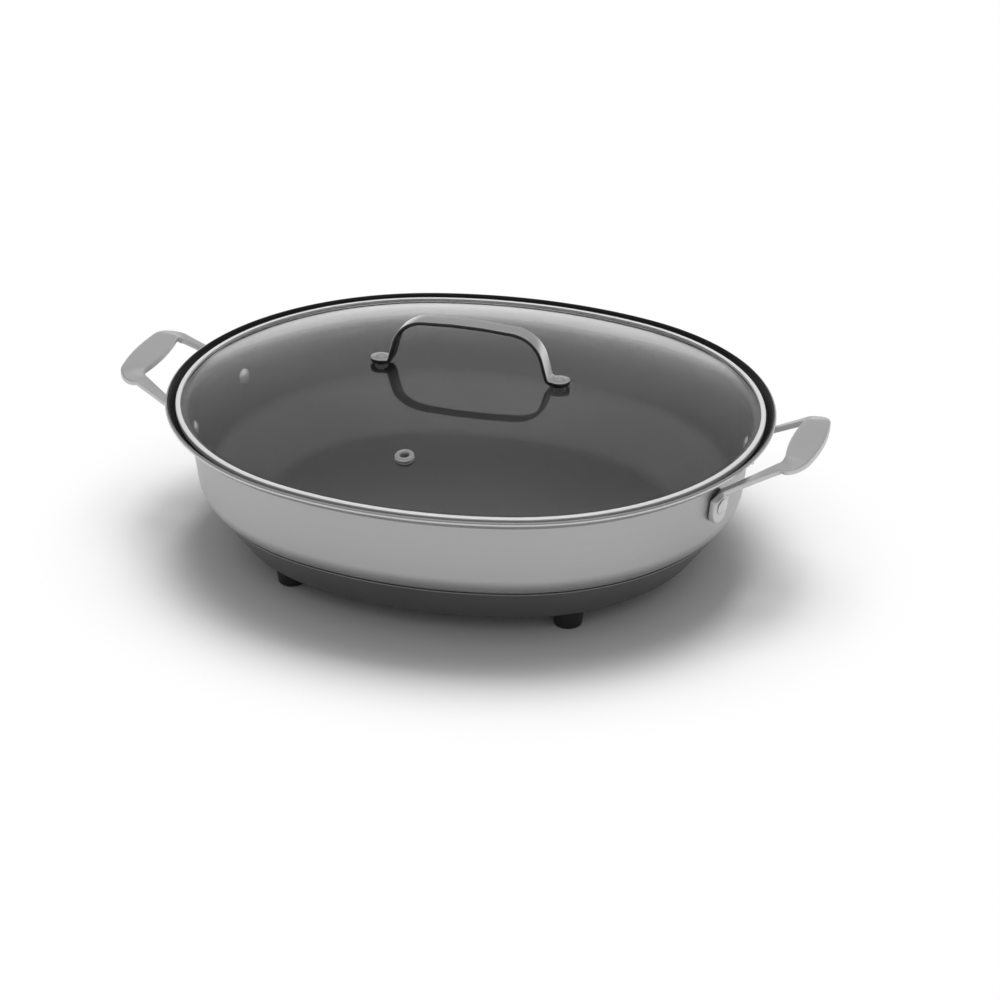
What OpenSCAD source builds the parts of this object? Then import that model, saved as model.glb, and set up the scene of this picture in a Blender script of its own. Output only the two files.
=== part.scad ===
// Oval electric skillet: a stainless bowl with a flared rim and a heated base,
// two cast side handles riveted to the wall, and a domed glass lid that lifts off.
// Origin: centre of the footprint on the table. +X runs to the right handle,
// +Y to the back, where the control plugs in, and +Z is up. Millimetres.

/* [Pan] */
// Rim length, without the handles
rim_length = 402.4; // [394:0.1:412]
// Rim depth from front to back
rim_depth = 351.4; // [344:0.1:360]
// Depth inside, from the rim down to the floor
pan_depth = 80.4; // [78:0.1:84]
// Sheet thickness of the bowl
pan_wall = 1.5; // [1.2:0.1:2]
// Radius of the rolled bead round the rim
bead_radius = 1.4; // [1.1:0.1:1.8]
// Length of the sloping lip inside the bead
lip_run = 5; // [4:0.5:7]
// Slope of the lip below level, in degrees
lip_slope = 50; // [40:1:60]
// Fillet between the lip and the lid seat
lip_fillet = 2; // [1.5:0.1:3]
// Width of the ledge that carries the lid
seat_width = 6.6; // [6:0.2:9]
// Fall of the ledge towards the bowl, in degrees
seat_fall = 8; // [4:1:12]
// Radius where the ledge turns down into the wall
shoulder_radius = 4; // [3:0.5:6]
// Straight part of the wall
wall_run = 40; // [38:0.5:42]
// Taper of the wall from upright, in degrees
wall_taper = 7; // [5:0.5:10]
// Radius where the wall turns under towards the floor
bowl_radius = 17; // [14:1:19]
// Slope of the lower bowl from upright, in degrees
bowl_slope = 60; // [56:1:64]
// Radius where the lower bowl meets the floor
floor_radius = 30; // [24:1:36]

/* [Heated base] */
// Sheet thickness of the base cap
cap_wall = 1; // [0.8:0.1:1.4]
// Gap between the base cap and the bowl
cap_gap = 0.2; // [0.1:0.05:0.4]
// Slope of the base cap's side from upright, in degrees
cap_slope = 36; // [32:1:40]
// Radius round the foot of the base cap
cap_corner = 8; // [6:0.5:10]
// Thickness of the cast heat plate
plate_thickness = 8.6; // [8.4:0.1:10]
// How far the heat plate stops inside the edge of the floor
plate_inset = 3; // [3:0.5:8]
// Clearance over and under the heat plate
plate_gap = 0.2; // [0.1:0.05:0.4]
// Radius of the heating tube
tube_radius = 3.2; // [3:0.1:3.4]
// How far the heating tube runs inside the edge of the plate
tube_inset = 20; // [14:1:30]
// Bend radius where the tube turns out to its terminals
tube_bend = 10; // [9:1:14]

/* [Control inlet] */
// Distance of each terminal pin from the middle
pin_offset = 12.7; // [12:0.1:14]
// Radius of a terminal pin
pin_radius = 2.4; // [2:0.1:2.6]
// Length of a pin outside its insulator
pin_length = 19; // [15:1:22]
// Outer radius of the probe sleeve
sleeve_radius = 3.4; // [3.2:0.1:3.6]
// Bore radius of the probe sleeve
sleeve_bore = 2.6; // [2.4:0.1:2.8]
// Length of the probe sleeve inside the heat plate
sleeve_depth = 46; // [36:1:60]
// Outer width of the inlet guard
guard_width = 56; // [54:1:62]
// Outer height of the inlet guard
guard_height = 24; // [20:1:26]
// How far the inlet guard reaches past the tips of the pins
guard_overhang = 6; // [4:0.5:9]
// Sheet thickness of the inlet guard
guard_wall = 1.2; // [1:0.1:1.6]
// Corner radius of the inlet guard
guard_corner = 4; // [3:0.5:5]

/* [Feet] */
// Height of a foot, which lifts the base off the table
foot_height = 14; // [12:0.5:18]
// Radius of a foot at the top
foot_top_radius = 10.6; // [9.6:0.1:11]
// Radius of a foot on the table
foot_low_radius = 9; // [8:0.5:9.5]
// Distance of the feet inside the flat of the base
foot_inset = 11.2; // [11:0.1:13]
// Turn of the feet from the length, about the end arcs' centres, in degrees
foot_turn = 53.5; // [45:0.5:60]

/* [Side handles] */
// How far each handle reaches past the rim
handle_reach = 35.6; // [33:0.1:40]
// Height of the grip's middle above the rim
handle_rise = 2.2; // [0:0.2:5]
// Width of the grip at its middle
grip_width = 23; // [21:0.1:25]
// Thickness of the grip
grip_thickness = 6.4; // [5.5:0.1:7.5]
// Half the distance between the inner corners of the hand hole
hole_half_span = 27.5; // [26:0.5:29]
// Width of an arm
arm_width = 10.6; // [9:0.1:12]
// Thickness of an arm
arm_thickness = 5; // [4:0.2:6]
// Rise of an arm from level, in degrees
arm_rise = 28; // [24:1:32]
// Width of a riveted pad
pad_width = 19; // [17:0.5:21]
// Distance of each rivet from the handle's middle
rivet_y = 44.5; // [42:0.5:46]
// Height of the rivets below the rim
rivet_drop = 28; // [27:0.1:31]
// Radius of a handle rivet's shank
rivet_radius = 3; // [2.5:0.1:3.4]
// Radius of a handle rivet's head
rivet_head = 5.4; // [4.8:0.1:6]

/* [Lid] */
// Thickness of the glass
glass_thickness = 3.2; // [3:0.1:4]
// Rise of the dome from its edge to its top
dome_rise = 20.6; // [18:0.1:22]
// Sheet thickness of the rim band
band_wall = 0.5; // [0.4:0.05:0.7]
// Width of the rim band seen from above
band_width = 3.2; // [3:0.1:3.6]
// Distance of the rim band inside the outermost edge of the pan
band_inset = 6.8; // [6.6:0.1:7.6]
// Gap between the rim band and the ledge under it
lid_gap = 0.3; // [0.3:0.05:0.5]
// Place of the steam vent along the rim's length, from the middle
vent_x = -5; // [-50:1:50]
// Place of the steam vent along the rim's depth, from the middle
vent_y = -117; // [-122:1:-95]
// Outer radius of the vent eyelet
vent_radius = 6.2; // [5.5:0.1:7]
// Bore radius of the vent eyelet
vent_bore = 2.8; // [2.4:0.1:3.2]

/* [Lid handle] */
// Distance of each lid rivet from the middle
lid_rivet_x = 61; // [58:0.5:64]
// Height from the glass to the top of the arch
arch_height = 35.6; // [32:0.1:40]
// Width of the strap
strap_width = 12; // [10:0.5:14]
// Thickness of the strap
strap_thickness = 2.6; // [2.2:0.1:3]
// Radius of the shoulders of the arch
strap_shoulder = 15; // [12:0.5:17]
// Lean of the legs from upright, in degrees
strap_lean = 12; // [8:1:16]
// Radius of a round tab
tab_radius = 7; // [6.5:0.1:8]
// Thickness of the washer under a tab
washer_thickness = 0.8; // [0.6:0.1:1.2]
// Radius of a lid rivet's shank
lid_rivet_radius = 2.4; // [2:0.1:2.6]
// Radius of a lid rivet's head
lid_rivet_head = 4.4; // [4:0.1:5]

/* [Hidden] */
$fn = 96;

// Four-arc oval: end arcs centred on the X axis, side arcs centred on the Y axis.
// Where they meet, the radius leans by these shares of its length.
meet_shares = [0.28, 0.96];
arc_gap = (rim_length - rim_depth) / 2 / (meet_shares[0] + meet_shares[1] - 1);
end_c = meet_shares[0] * arc_gap;
side_c = meet_shares[1] * arc_gap;
rim_end_radius = rim_length / 2 - end_c;
side_radius = rim_depth / 2 + side_c;
end_sweep = atan2(meet_shares[1], meet_shares[0]);

// Stack of the base, from the table up
base_z = foot_height;
plate_z = base_z + cap_wall + plate_gap;
floor_z = plate_z + plate_thickness + plate_gap;
rim_top = floor_z + pan_wall + pan_depth;
over = 1;
section_sag = 0.02;
tube_sag = 0.12;
tube_sides = 12;
bead_sides = 24;
flat_run = 4;

// Section of the bowl along its middle surface, from the bead inwards.
// A step is [length, 0] for a straight run and [radius, turn] for a bend.
bead_p = [bead_radius, rim_top - bead_radius];
rim_steps = [[lip_run, 0], [lip_fillet, lip_slope - seat_fall], [seat_width, 0],
  [shoulder_radius, wall_taper + seat_fall - 90], [wall_run, 0],
  [bowl_radius, bowl_slope - wall_taper]];
bowl_p = walk(bead_p, -lip_slope, rim_steps);
floor_mid = floor_z + pan_wall / 2;
slope_run = (bowl_p[1] - floor_mid - floor_radius * (1 - sin(bowl_slope))) / cos(bowl_slope);
pan_steps = concat(rim_steps, [[slope_run, 0], [floor_radius, 90 - bowl_slope], [flat_run, 0]]);
floor_edge = walk(bead_p, -lip_slope, pan_steps)[0] - flat_run;
seat_p = walk(bead_p, -lip_slope, [rim_steps[0], rim_steps[1]]);
wall_p = walk(bead_p, -lip_slope, [for (i = [0:3]) rim_steps[i]]);

// Section of the base cap, from where it meets the lower bowl, down and under it
cap_p = bowl_p - (pan_wall / 2 + cap_gap) * normal_at(bowl_slope - 90)
  - cap_wall / 2 * normal_at(cap_slope - 90);
cap_run = (cap_p[1] - base_z - cap_wall / 2 - cap_corner * (1 - sin(cap_slope))) / cos(cap_slope);
cap_steps = [[cap_run, 0], [cap_corner, 90 - cap_slope], [flat_run, 0]];
cap_edge = walk(cap_p, cap_slope - 90, cap_steps)[0] - flat_run;
cap_face = cap_p[0] - (cap_wall / 2 + cap_gap) / cos(cap_slope);

// Heat plate and heating tube
plate_edge = floor_edge + plate_inset;
tube_edge = plate_edge + tube_inset;
tube_z = plate_z + plate_thickness / 2;
tube_r = side_radius - tube_edge;
tube_turn = asin((pin_offset + tube_bend) / (tube_r + tube_bend));
tube_bend_y = (tube_r + tube_bend) * cos(tube_turn) - side_c;
// Place in the depth of a point of the cap's outer face, at a height
function cap_y(z) = rim_depth / 2 - cap_p[0]
  - (cap_p[1] - z) * tan(cap_slope) + cap_wall / 2 / cos(cap_slope);
tube_end_y = cap_y(tube_z);
insulator_length = 5;
insulator_radius = 4.4;
stem_step = 0.5;
stem_radius = pin_radius - stem_step;
fit_gap = 0.15;
pin_tip_y = tube_end_y + insulator_length + pin_length;
guard_end_y = pin_tip_y + guard_overhang;
guard_mid_z = base_z - guard_wall + guard_height / 2;
window_low_z = base_z + guard_wall;
window_high_z = tube_z + insulator_radius + 2 * fit_gap;
window_width = guard_width - 2 * guard_wall - 2 * guard_corner;
plate_back_y = rim_depth / 2 - plate_edge;
tongue_width = 54;
tongue_reach = 26;
guard_screw_x = 22;
guard_screw_y = cap_bottom_y() - tongue_reach / 2;
function cap_bottom_y() = rim_depth / 2 - cap_edge;

// Screws
screw_radius = 2;
screw_head = 3.8;
screw_head_height = 2.2;
screw_grip = 6;
foot_round = 1.6;
foot_recess = 5.2;
foot_web = 6;
foot_boss = foot_height - foot_web;
foot_grip = 3;
foot_ring = rim_end_radius - cap_edge - foot_inset;
foot_x = end_c + foot_ring * cos(foot_turn);
foot_y = foot_ring * sin(foot_turn);

// Side handles
wall_face_inset = wall_p[0] - pan_wall / 2 / cos(wall_taper);
rivet_z = rim_top - rivet_drop;
// Radius of the bowl's outer face about an end centre, at a height of the wall
function wall_r(z) = rim_end_radius - wall_face_inset - (wall_p[1] - z) * tan(wall_taper);
pad_turn = asin(rivet_y / wall_r(rivet_z));
pad_gap = 0.15;
rivet_gap = 0.25;
pad_low_share = 0.72;
pad_low_z = rivet_z - pad_low_share * pad_width;
grip_out = rim_length / 2 + handle_reach;
grip_in = grip_out - grip_width;
grip_z = rim_top + handle_rise;
corner_gap = 2;
grip_end_width = 20.2;
corner_width = 19;
arm_splay = -13;
arm_turn_radius = 6;
ring_points = 16;
section_power_share = 0.62;
corner_p = [grip_in - corner_gap, hole_half_span];
arm_end = [corner_p[0] - sin(arm_splay) * (corner_gap + corner_width / 2),
  corner_p[1] + cos(arm_splay) * (corner_gap + corner_width / 2)];
arm_end_drop = 3.2;
arm_end_z = grip_z - arm_end_drop;
pad_p = pad_at(rivet_z);
// Middle of the pad at a height, in plan
function pad_at(z) = [end_c + (wall_r(z) + pad_gap + arm_thickness / 2) * cos(pad_turn),
  (wall_r(z) + pad_gap + arm_thickness / 2) * sin(pad_turn)];
// Where the line of the pad meets the line of the arm, as seen from the side
pad_line = tan(wall_taper) * cos(pad_turn);
meet_z = (arm_end_z + (pad_p[0] - pad_line * rivet_z - arm_end[0]) * tan(arm_rise))
  / (1 - pad_line * tan(arm_rise));
meet_x = pad_p[0] + (meet_z - rivet_z) * pad_line;
bend_angle = 90 - wall_taper - arm_rise;
bend_leg = arm_turn_radius * tan(bend_angle / 2);
dome_share = 0.42;

// Lid, from the ledge up
band_under = seat_p[1] + pan_wall / 2 / cos(seat_fall)
  - (band_inset - seat_p[0]) * tan(seat_fall) + lid_gap;
edge_clear = 0.05;
glass_edge_z = band_under + band_wall + edge_clear + glass_thickness / 2;
band_top = glass_edge_z + glass_thickness / 2 + edge_clear + band_wall;
glass_edge = band_inset + band_wall + edge_clear;
glass_flat = band_width;
glass_fillet = 10;
tab_margin = 1;
dome_centre = rim_length / 2 - lid_rivet_x - tab_radius - tab_margin;
dome_reach = dome_centre - glass_edge - glass_flat;
dome_edge = 2 * atan(dome_rise / dome_reach);
dome_radius = dome_reach / sin(dome_edge) - glass_fillet;
dome_steps = [[glass_flat, 0], [glass_fillet, dome_edge], [dome_radius, -dome_edge], [flat_run, 0]];
glass_top = glass_edge_z + dome_rise + glass_thickness / 2;
glass_under = glass_top - glass_thickness;
glass_hole = lid_rivet_radius + 0.8 * washer_thickness;

// Arch of the lid handle, in its own upright plane
crown = 5;
strap_bend = 3;
tab_run = 4.6;
tab_z = glass_top + washer_thickness;
strap_z = tab_z + strap_thickness / 2;
leg_angle = 90 - strap_lean;
span_x = lid_rivet_x - tab_run - strap_bend * sin(leg_angle)
  - strap_shoulder * (sin(leg_angle) - sin(crown));
rise_z = arch_height - washer_thickness - strap_thickness
  - strap_bend * (1 - cos(leg_angle)) - strap_shoulder * (cos(crown) - cos(leg_angle));
leg_run = (rise_z - span_x * tan(crown / 2))
  / (sin(leg_angle) - cos(leg_angle) * tan(crown / 2));
crown_radius = (span_x - leg_run * cos(leg_angle)) / sin(crown);
arch_steps = [[tab_run, 0], [strap_bend, leg_angle], [leg_run, 0],
  [strap_shoulder, crown - leg_angle], [crown_radius, -2 * crown],
  [strap_shoulder, crown - leg_angle], [leg_run, 0], [strap_bend, leg_angle], [tab_run, 0]];
nut_height = 3.2;
nut_radius = 4.6;
lid_head_height = 2.1;

// Colours
steel = [0.72, 0.72, 0.71];
dark_steel = [0.42, 0.42, 0.43];
bright = [0.85, 0.85, 0.84];
black = [0.08, 0.08, 0.08];
ceramic = [0.93, 0.91, 0.86];
clear = [0.75, 0.78, 0.8, 0.4];

// Walking along a section: left normal, end of one step, end of a list of steps
function normal_at(h) = [-sin(h), cos(h)];
function around(share) = [cos(360 * share), sin(360 * share)];
function step_end(p, h, s) = s[1] == 0 ? p + s[0] * [cos(h), sin(h)]
  : p + sign(s[1]) * s[0] * (normal_at(h) - normal_at(h + s[1]));
function walk(p, h, steps, k = 0) = k == len(steps) ? p
  : walk(step_end(p, h, steps[k]), h + steps[k][1], steps, k + 1);

// Outline points of a sheet that follows a list of steps, a distance to the
// left of its middle surface. A bend is drawn in parts of equal sag.
function bend_parts(s, sag) = ceil(abs(s[1]) / (sqrt(8 * sag / s[0]) * 180 / PI));
function bend_centre(p, h, s) = p + sign(s[1]) * s[0] * normal_at(h);
function headings(h, s, sag) = s[1] == 0 ? [h]
  : let(n = bend_parts(s, sag)) [for (i = [0:n - 1]) h + s[1] * i / n];
function side_line(p, h, steps, side, sag, k = 0) = k == len(steps) ? [p + side * normal_at(h)]
  : let(s = steps[k]) concat(
    s[1] == 0 ? [p + side * normal_at(h)]
      : [for (a = headings(h, s, sag)) bend_centre(p, h, s) + (side - sign(s[1]) * s[0]) * normal_at(a)],
    side_line(step_end(p, h, s), h + s[1], steps, side, sag, k + 1));
function reversed(v) = [for (i = [len(v) - 1:-1:0]) v[i]];

// Sheet of thickness t that follows a list of steps
module strip(p, h, steps, t, sag = section_sag) {
  polygon(concat(side_line(p, h, steps, t / 2, sag), reversed(side_line(p, h, steps, -t / 2, sag))));
}

// Sweeps a section round the oval. In the section, x is the distance inside
// the rim's outermost edge and y is the height.
module end_sweeps() {
  for (s = [0, 180]) rotate(s) translate([end_c, 0, 0]) intersection() {
    rotate(180) rotate_extrude() translate([rim_end_radius, 0]) mirror([1, 0]) children();
    linear_extrude(2 * rim_top) end_wedge();
  }
}
module side_sweep(turn) {
  rotate(turn) translate([0, -side_c, 0]) intersection() {
    rotate(180) rotate_extrude() translate([side_radius, 0]) mirror([1, 0]) children();
    linear_extrude(2 * rim_top) side_wedge();
  }
}
module oval_sweep() {
  end_sweeps() children();
  side_sweep(0) children();
  side_sweep(180) children();
}

// Wedges that bound an end sweep and a side sweep, apex at the arc's centre
module end_wedge() {
  polygon([[0, 0], rim_length * [meet_shares[0], -meet_shares[1]], [2 * rim_length, 0], rim_length * meet_shares]);
}
module side_wedge() {
  polygon([[0, 0], rim_length * meet_shares, [0, 2 * rim_length], rim_length * [-meet_shares[0], meet_shares[1]]]);
}

// The oval itself, a distance inside the rim's edge
module oval(inset) {
  for (s = [0, 180]) rotate(s) {
    intersection() {
      translate([end_c, 0]) circle(r = rim_end_radius - inset);
      translate([end_c, 0]) end_wedge();
    }
    intersection() {
      translate([0, -side_c]) circle(r = side_radius - inset);
      polygon([[-end_c, 0], [end_c, 0], [end_c, 0] + rim_length * meet_shares,
        [-end_c, 0] + rim_length * [-meet_shares[0], meet_shares[1]]]);
    }
  }
}

// Places its children on a side handle's two rivets, axis out of the wall
module at_rivets() {
  for (s = [-1, 1])
    translate([end_c, 0, 0]) rotate(s * pad_turn)
      translate([wall_r(rivet_z), 0, rivet_z]) rotate([0, 90 + wall_taper, 0])
        children();
}

module pan() {
  color(steel) difference() {
    union() {
      oval_sweep() {
        polygon([for (j = [0:bead_sides - 1]) bead_p + bead_radius * around(j / bead_sides)]);
        strip(bead_p, -lip_slope, pan_steps, pan_wall);
      }
      translate([0, 0, floor_z]) linear_extrude(pan_wall) oval(floor_edge + flat_run / 2);
    }
    for (s = [0, 180]) rotate(s) at_rivets()
      translate([0, 0, -2 * pan_wall])
        cylinder(r = rivet_radius + fit_gap, h = 4 * pan_wall);
  }
}

// The heating tube's route in plan: in at the right terminal, clockwise round
// the oval and out at the left terminal
function tube_start(y) = [pin_offset, y];
function tube_steps(y) = let(side = 90 - end_sweep - tube_turn, lead = [y - tube_bend_y, 0],
    ends = [rim_end_radius - tube_edge, -2 * end_sweep], out = [tube_bend, 90 - tube_turn])
  [lead, out, [tube_r, -side], ends, [tube_r, 2 * end_sweep - 180], ends, [tube_r, -side], out, lead];

module heat_plate() {
  color(steel) difference() {
    translate([0, 0, plate_z]) linear_extrude(plate_thickness) oval(plate_edge);
    translate([0, 0, plate_z - over]) linear_extrude(tube_z + tube_radius + fit_gap - plate_z + over)
      strip(tube_start(plate_back_y + over), -90, tube_steps(plate_back_y + over),
        2 * (tube_radius + fit_gap), tube_sag);
    translate([0, plate_back_y + over, tube_z]) rotate([90, 0, 0])
      cylinder(r = sleeve_radius + fit_gap, h = sleeve_depth + over);
    at_guard_screws() translate([0, 0, plate_z - over])
      cylinder(r = screw_radius + fit_gap, h = screw_grip + over);
  }
}

function turned_by(steps, k) = k == 0 ? 0 : steps[k - 1][1] + turned_by(steps, k - 1);

// Closed skin over a row of rings with the same number of points
module skin(rings) {
  n = len(rings[0]);
  last = len(rings) - 1;
  polyhedron(points = [for (q = rings) each q],
    faces = concat([[for (j = [0:n - 1]) j]],
      [for (k = [0:last - 1], j = [0:n - 1]) let(a = k * n + j, b = k * n + (j + 1) % n)
        each [[a, a + n, b], [b, a + n, b + n]]],
      [[for (j = [n - 1:-1:0]) last * n + j]]));
}

module heating_element() {
  start = tube_start(tube_end_y);
  steps = tube_steps(tube_end_y);
  line = side_line(start, -90, steps, 0, tube_sag);
  turned = concat([for (k = [0:len(steps) - 1])
    each headings(turned_by(steps, k) - 90, steps[k], tube_sag)], [90]);
  rings = [for (i = [0:len(line) - 1]) [for (j = [0:tube_sides - 1])
    let(c = around((j + 0.5) / tube_sides), q = line[i] + tube_radius * c[0] * normal_at(turned[i]))
    [q[0], q[1], tube_z + tube_radius * c[1]]]];
  color(dark_steel) skin(rings);
}

module at_feet() {
  for (x = [-foot_x, foot_x], y = [-foot_y, foot_y]) translate([x, y, 0]) children();
}

module at_guard_screws() {
  for (x = [-guard_screw_x, guard_screw_x]) translate([x, guard_screw_y, 0]) children();
}

module base_cap() {
  color(dark_steel) difference() {
    union() {
      oval_sweep() strip(cap_p, cap_slope - 90, cap_steps, cap_wall);
      translate([0, 0, base_z]) linear_extrude(cap_wall) oval(cap_edge + flat_run / 2);
    }
    translate([-window_width / 2, cap_bottom_y(), window_low_z])
      cube([window_width, tube_end_y, window_high_z - window_low_z]);
    at_feet() translate([0, 0, base_z - over])
      cylinder(r = screw_radius + fit_gap, h = cap_wall + 2 * over);
    at_guard_screws() translate([0, 0, base_z - over])
      cylinder(r = screw_radius + fit_gap, h = cap_wall + 2 * over);
  }
}

module terminal_pins() {
  color(bright) for (x = [-pin_offset, pin_offset])
    translate([x, tube_end_y, tube_z]) rotate([-90, 0, 0]) {
      cylinder(r = stem_radius, h = insulator_length + over);
      translate([0, 0, insulator_length])
        cylinder(r = pin_radius, h = pin_length - pin_radius);
      translate([0, 0, pin_tip_y - tube_end_y - pin_radius]) sphere(r = pin_radius);
    }
}

module pin_insulators() {
  color(ceramic) for (x = [-pin_offset, pin_offset])
    translate([x, tube_end_y, tube_z]) rotate([-90, 0, 0]) difference() {
      cylinder(r = insulator_radius, h = insulator_length);
      translate([0, 0, -over])
        cylinder(r = stem_radius + fit_gap, h = insulator_length + 2 * over);
    }
}

module probe_sleeve() {
  color(bright) translate([0, plate_back_y - sleeve_depth, tube_z]) rotate([-90, 0, 0])
    difference() {
      cylinder(r = sleeve_radius, h = tube_end_y - plate_back_y + sleeve_depth);
      translate([0, 0, guard_wall])
        cylinder(r = sleeve_bore, h = tube_end_y - plate_back_y + sleeve_depth);
    }
}

// Rectangle with round corners, centred
module round_rectangle(w, h, r) {
  square([w - 2 * r, h], center = true);
  square([w, h - 2 * r], center = true);
  for (x = [-1, 1], y = [-1, 1])
    translate([x * (w / 2 - r), y * (h / 2 - r)]) circle(r = r);
}

module inlet_guard() {
  color(steel) difference() {
    union() {
      translate([0, guard_end_y, guard_mid_z]) rotate([90, 0, 0])
        linear_extrude(guard_end_y - cap_bottom_y()) difference() {
          round_rectangle(guard_width, guard_height, guard_corner);
          round_rectangle(guard_width - 2 * guard_wall, guard_height - 2 * guard_wall,
            guard_corner - guard_wall);
        }
      translate([-tongue_width / 2, cap_bottom_y() - tongue_reach, base_z - guard_wall])
        cube([tongue_width, tongue_reach + over, guard_wall]);
    }
    side_sweep(0)
      polygon([[cap_face, cap_p[1]],
        [cap_face + (cap_p[1] - base_z) * tan(cap_slope), base_z],
        [rim_depth / 2, base_z], [rim_depth / 2, cap_p[1]]]);
    at_guard_screws() translate([0, 0, base_z - guard_wall - over])
      cylinder(r = screw_radius + fit_gap, h = guard_wall + 2 * over);
  }
}

// Round-headed screw: its head's flat face at z = 0 and its shank upwards
module screw(length) {
  cylinder(r = screw_radius, h = length);
  dome(screw_head, screw_head_height);
}

// Low dome below z = 0: radius of its rim and its height
module dome(r, h) {
  ball = (r * r + h * h) / (2 * h);
  rotate_extrude() intersection() {
    translate([0, ball - h]) circle(r = ball);
    translate([0, -h]) square([r, h]);
  }
}

module guard_screws() {
  color(bright) at_guard_screws() translate([0, 0, base_z - guard_wall])
    screw(guard_wall + cap_wall + screw_grip);
}

// A foot: a tapered round block, hollow below for its screw
module foot() {
  color(black) rotate_extrude() difference() {
    union() {
      polygon([[0, 0], [foot_low_radius - foot_round, 0], [foot_low_radius, foot_round],
        [foot_top_radius, foot_height], [0, foot_height]]);
      translate([foot_low_radius - foot_round, foot_round]) circle(r = foot_round);
    }
    translate([-over, -over]) square([foot_recess + over, foot_boss + over]);
    translate([-over, -over]) square([screw_radius + fit_gap + over, foot_height + 2 * over]);
  }
}

module foot_front_left() { translate([-foot_x, -foot_y, 0]) foot(); }
module foot_front_right() { translate([foot_x, -foot_y, 0]) foot(); }
module foot_back_left() { translate([-foot_x, foot_y, 0]) foot(); }
module foot_back_right() { translate([foot_x, foot_y, 0]) foot(); }

module foot_screws() {
  color(bright) at_feet() translate([0, 0, foot_boss])
    screw(foot_web + cap_wall + foot_grip);
}

// Stations of half a side handle, from the foot of its front pad to the middle
// of the grip: [x, y, z, heading in plan, pitch, width, thickness]
function mix(a, b, s) = a + (b - a) * s;
function ease(s) = (1 - cos(180 * s)) / 2;
function pad_station(z, w) = [pad_at(z)[0], -pad_at(z)[1], z, -pad_turn, 90 - wall_taper, w, arm_thickness];
pad_foot_shares = [0.03, 0.12, 0.3, 0.55, 1];
bend_shares = [0, 0.25, 0.5, 0.75, 1];
arm_shares = [0.25, 0.5, 0.75];
corner_shares = [0, 0.12, 0.25, 0.38, 0.5, 0.62, 0.75, 0.88, 1];
grip_shares = [0.2, 0.4, 0.6, 0.8, 1];
pad_top_z = meet_z - bend_leg * cos(wall_taper);
bend_end = [meet_x + bend_leg * cos(arm_rise), meet_z + bend_leg * sin(arm_rise)];
function bend_point(a) = [pad_at(pad_top_z)[0] + arm_turn_radius * (cos(wall_taper) - sin(a)),
  pad_top_z + arm_turn_radius * (cos(a) - sin(wall_taper))];
function arm_y(x) = -mix(pad_at(pad_top_z)[1], arm_end[1],
  (x - pad_at(pad_top_z)[0]) / (arm_end[0] - pad_at(pad_top_z)[0]));
function corner_station(s) = let(h = mix(-arm_splay, 90, s),
    w = mix(corner_width, grip_end_width, s), d = corner_gap + w / 2)
  [corner_p[0] + d * sin(h), -corner_p[1] - d * cos(h), mix(arm_end_z, grip_z, ease(s)),
    h, arm_rise * (1 - s) * (1 - s), w, mix(arm_thickness, grip_thickness, s)];
half_handle = concat(
  [for (s = pad_foot_shares) pad_station(pad_low_z + s * pad_width / 2,
    pad_width * sqrt(1 - (1 - s) * (1 - s)))],
  [for (s = bend_shares) let(a = mix(90 - wall_taper, arm_rise, s), q = bend_point(a))
    [q[0], arm_y(q[0]), q[1], mix(-pad_turn, -arm_splay, s), a,
      mix(pad_width, arm_width, ease(s)), arm_thickness]],
  [for (s = arm_shares) let(x = mix(bend_end[0], arm_end[0], s))
    [x, arm_y(x), mix(bend_end[1], arm_end_z, s), -arm_splay, arm_rise,
      mix(arm_width, corner_width, s), arm_thickness]],
  [for (s = corner_shares) corner_station(s)],
  [for (s = grip_shares) let(w = mix(grip_end_width, grip_width, sin(90 * s)))
    [grip_in + w / 2, -hole_half_span * (1 - s), grip_z, 90, 0, w, grip_thickness]]);
handle_path = concat(half_handle, [for (k = [len(half_handle) - 2:-1:0]) let(q = half_handle[k])
  [q[0], -q[1], q[2], 180 - q[3], -q[4], q[5], q[6]]]);

// Rounded section across the path at a station
function round_share(v) = sign(v) * pow(abs(v), section_power_share);
function ring(q) = [for (j = [0:ring_points - 1])
  let(a = 360 * j / ring_points, u = q[5] / 2 * round_share(cos(a)), v = q[6] / 2 * round_share(sin(a)))
  [q[0] - u * sin(q[3]) - v * cos(q[3]) * sin(q[4]),
    q[1] + u * cos(q[3]) - v * sin(q[3]) * sin(q[4]), q[2] + v * cos(q[4])]];

module side_handle() {
  color(steel) difference() {
    skin([for (q = handle_path) ring(q)]);
    at_rivets() translate([0, 0, -over])
      cylinder(r = rivet_radius + fit_gap, h = arm_thickness + 3 * over);
  }
}

module right_handle() { side_handle(); }
module left_handle() { rotate(180) side_handle(); }

module side_rivets() {
  color(bright) at_rivets() {
    translate([0, 0, -pan_wall - rivet_gap])
      cylinder(r = rivet_radius, h = pan_wall + rivet_gap + pad_gap + arm_thickness + fit_gap);
    translate([0, 0, -pan_wall - rivet_gap]) dome(rivet_head, dome_share * rivet_head);
    translate([0, 0, pad_gap + arm_thickness + fit_gap]) rotate([180, 0, 0])
      dome(rivet_head, dome_share * rivet_head / 2);
  }
}

module right_handle_rivets() { side_rivets(); }
module left_handle_rivets() { rotate(180) side_rivets(); }

// Height of the glass's upper face at a distance inside the rim's edge
function dome_z(inset) = glass_top - (inset >= dome_centre ? 0
  : dome_radius + glass_thickness / 2 - sqrt(pow(dome_radius + glass_thickness / 2, 2) - pow(dome_centre - inset, 2)));
vent_inset = side_radius - norm([vent_x, abs(vent_y) + side_c]);
vent_z = dome_z(vent_inset);
vent_tilt = asin((dome_centre - vent_inset) / dome_radius);
vent_turn = atan2(abs(vent_y) + side_c, vent_x);

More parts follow.
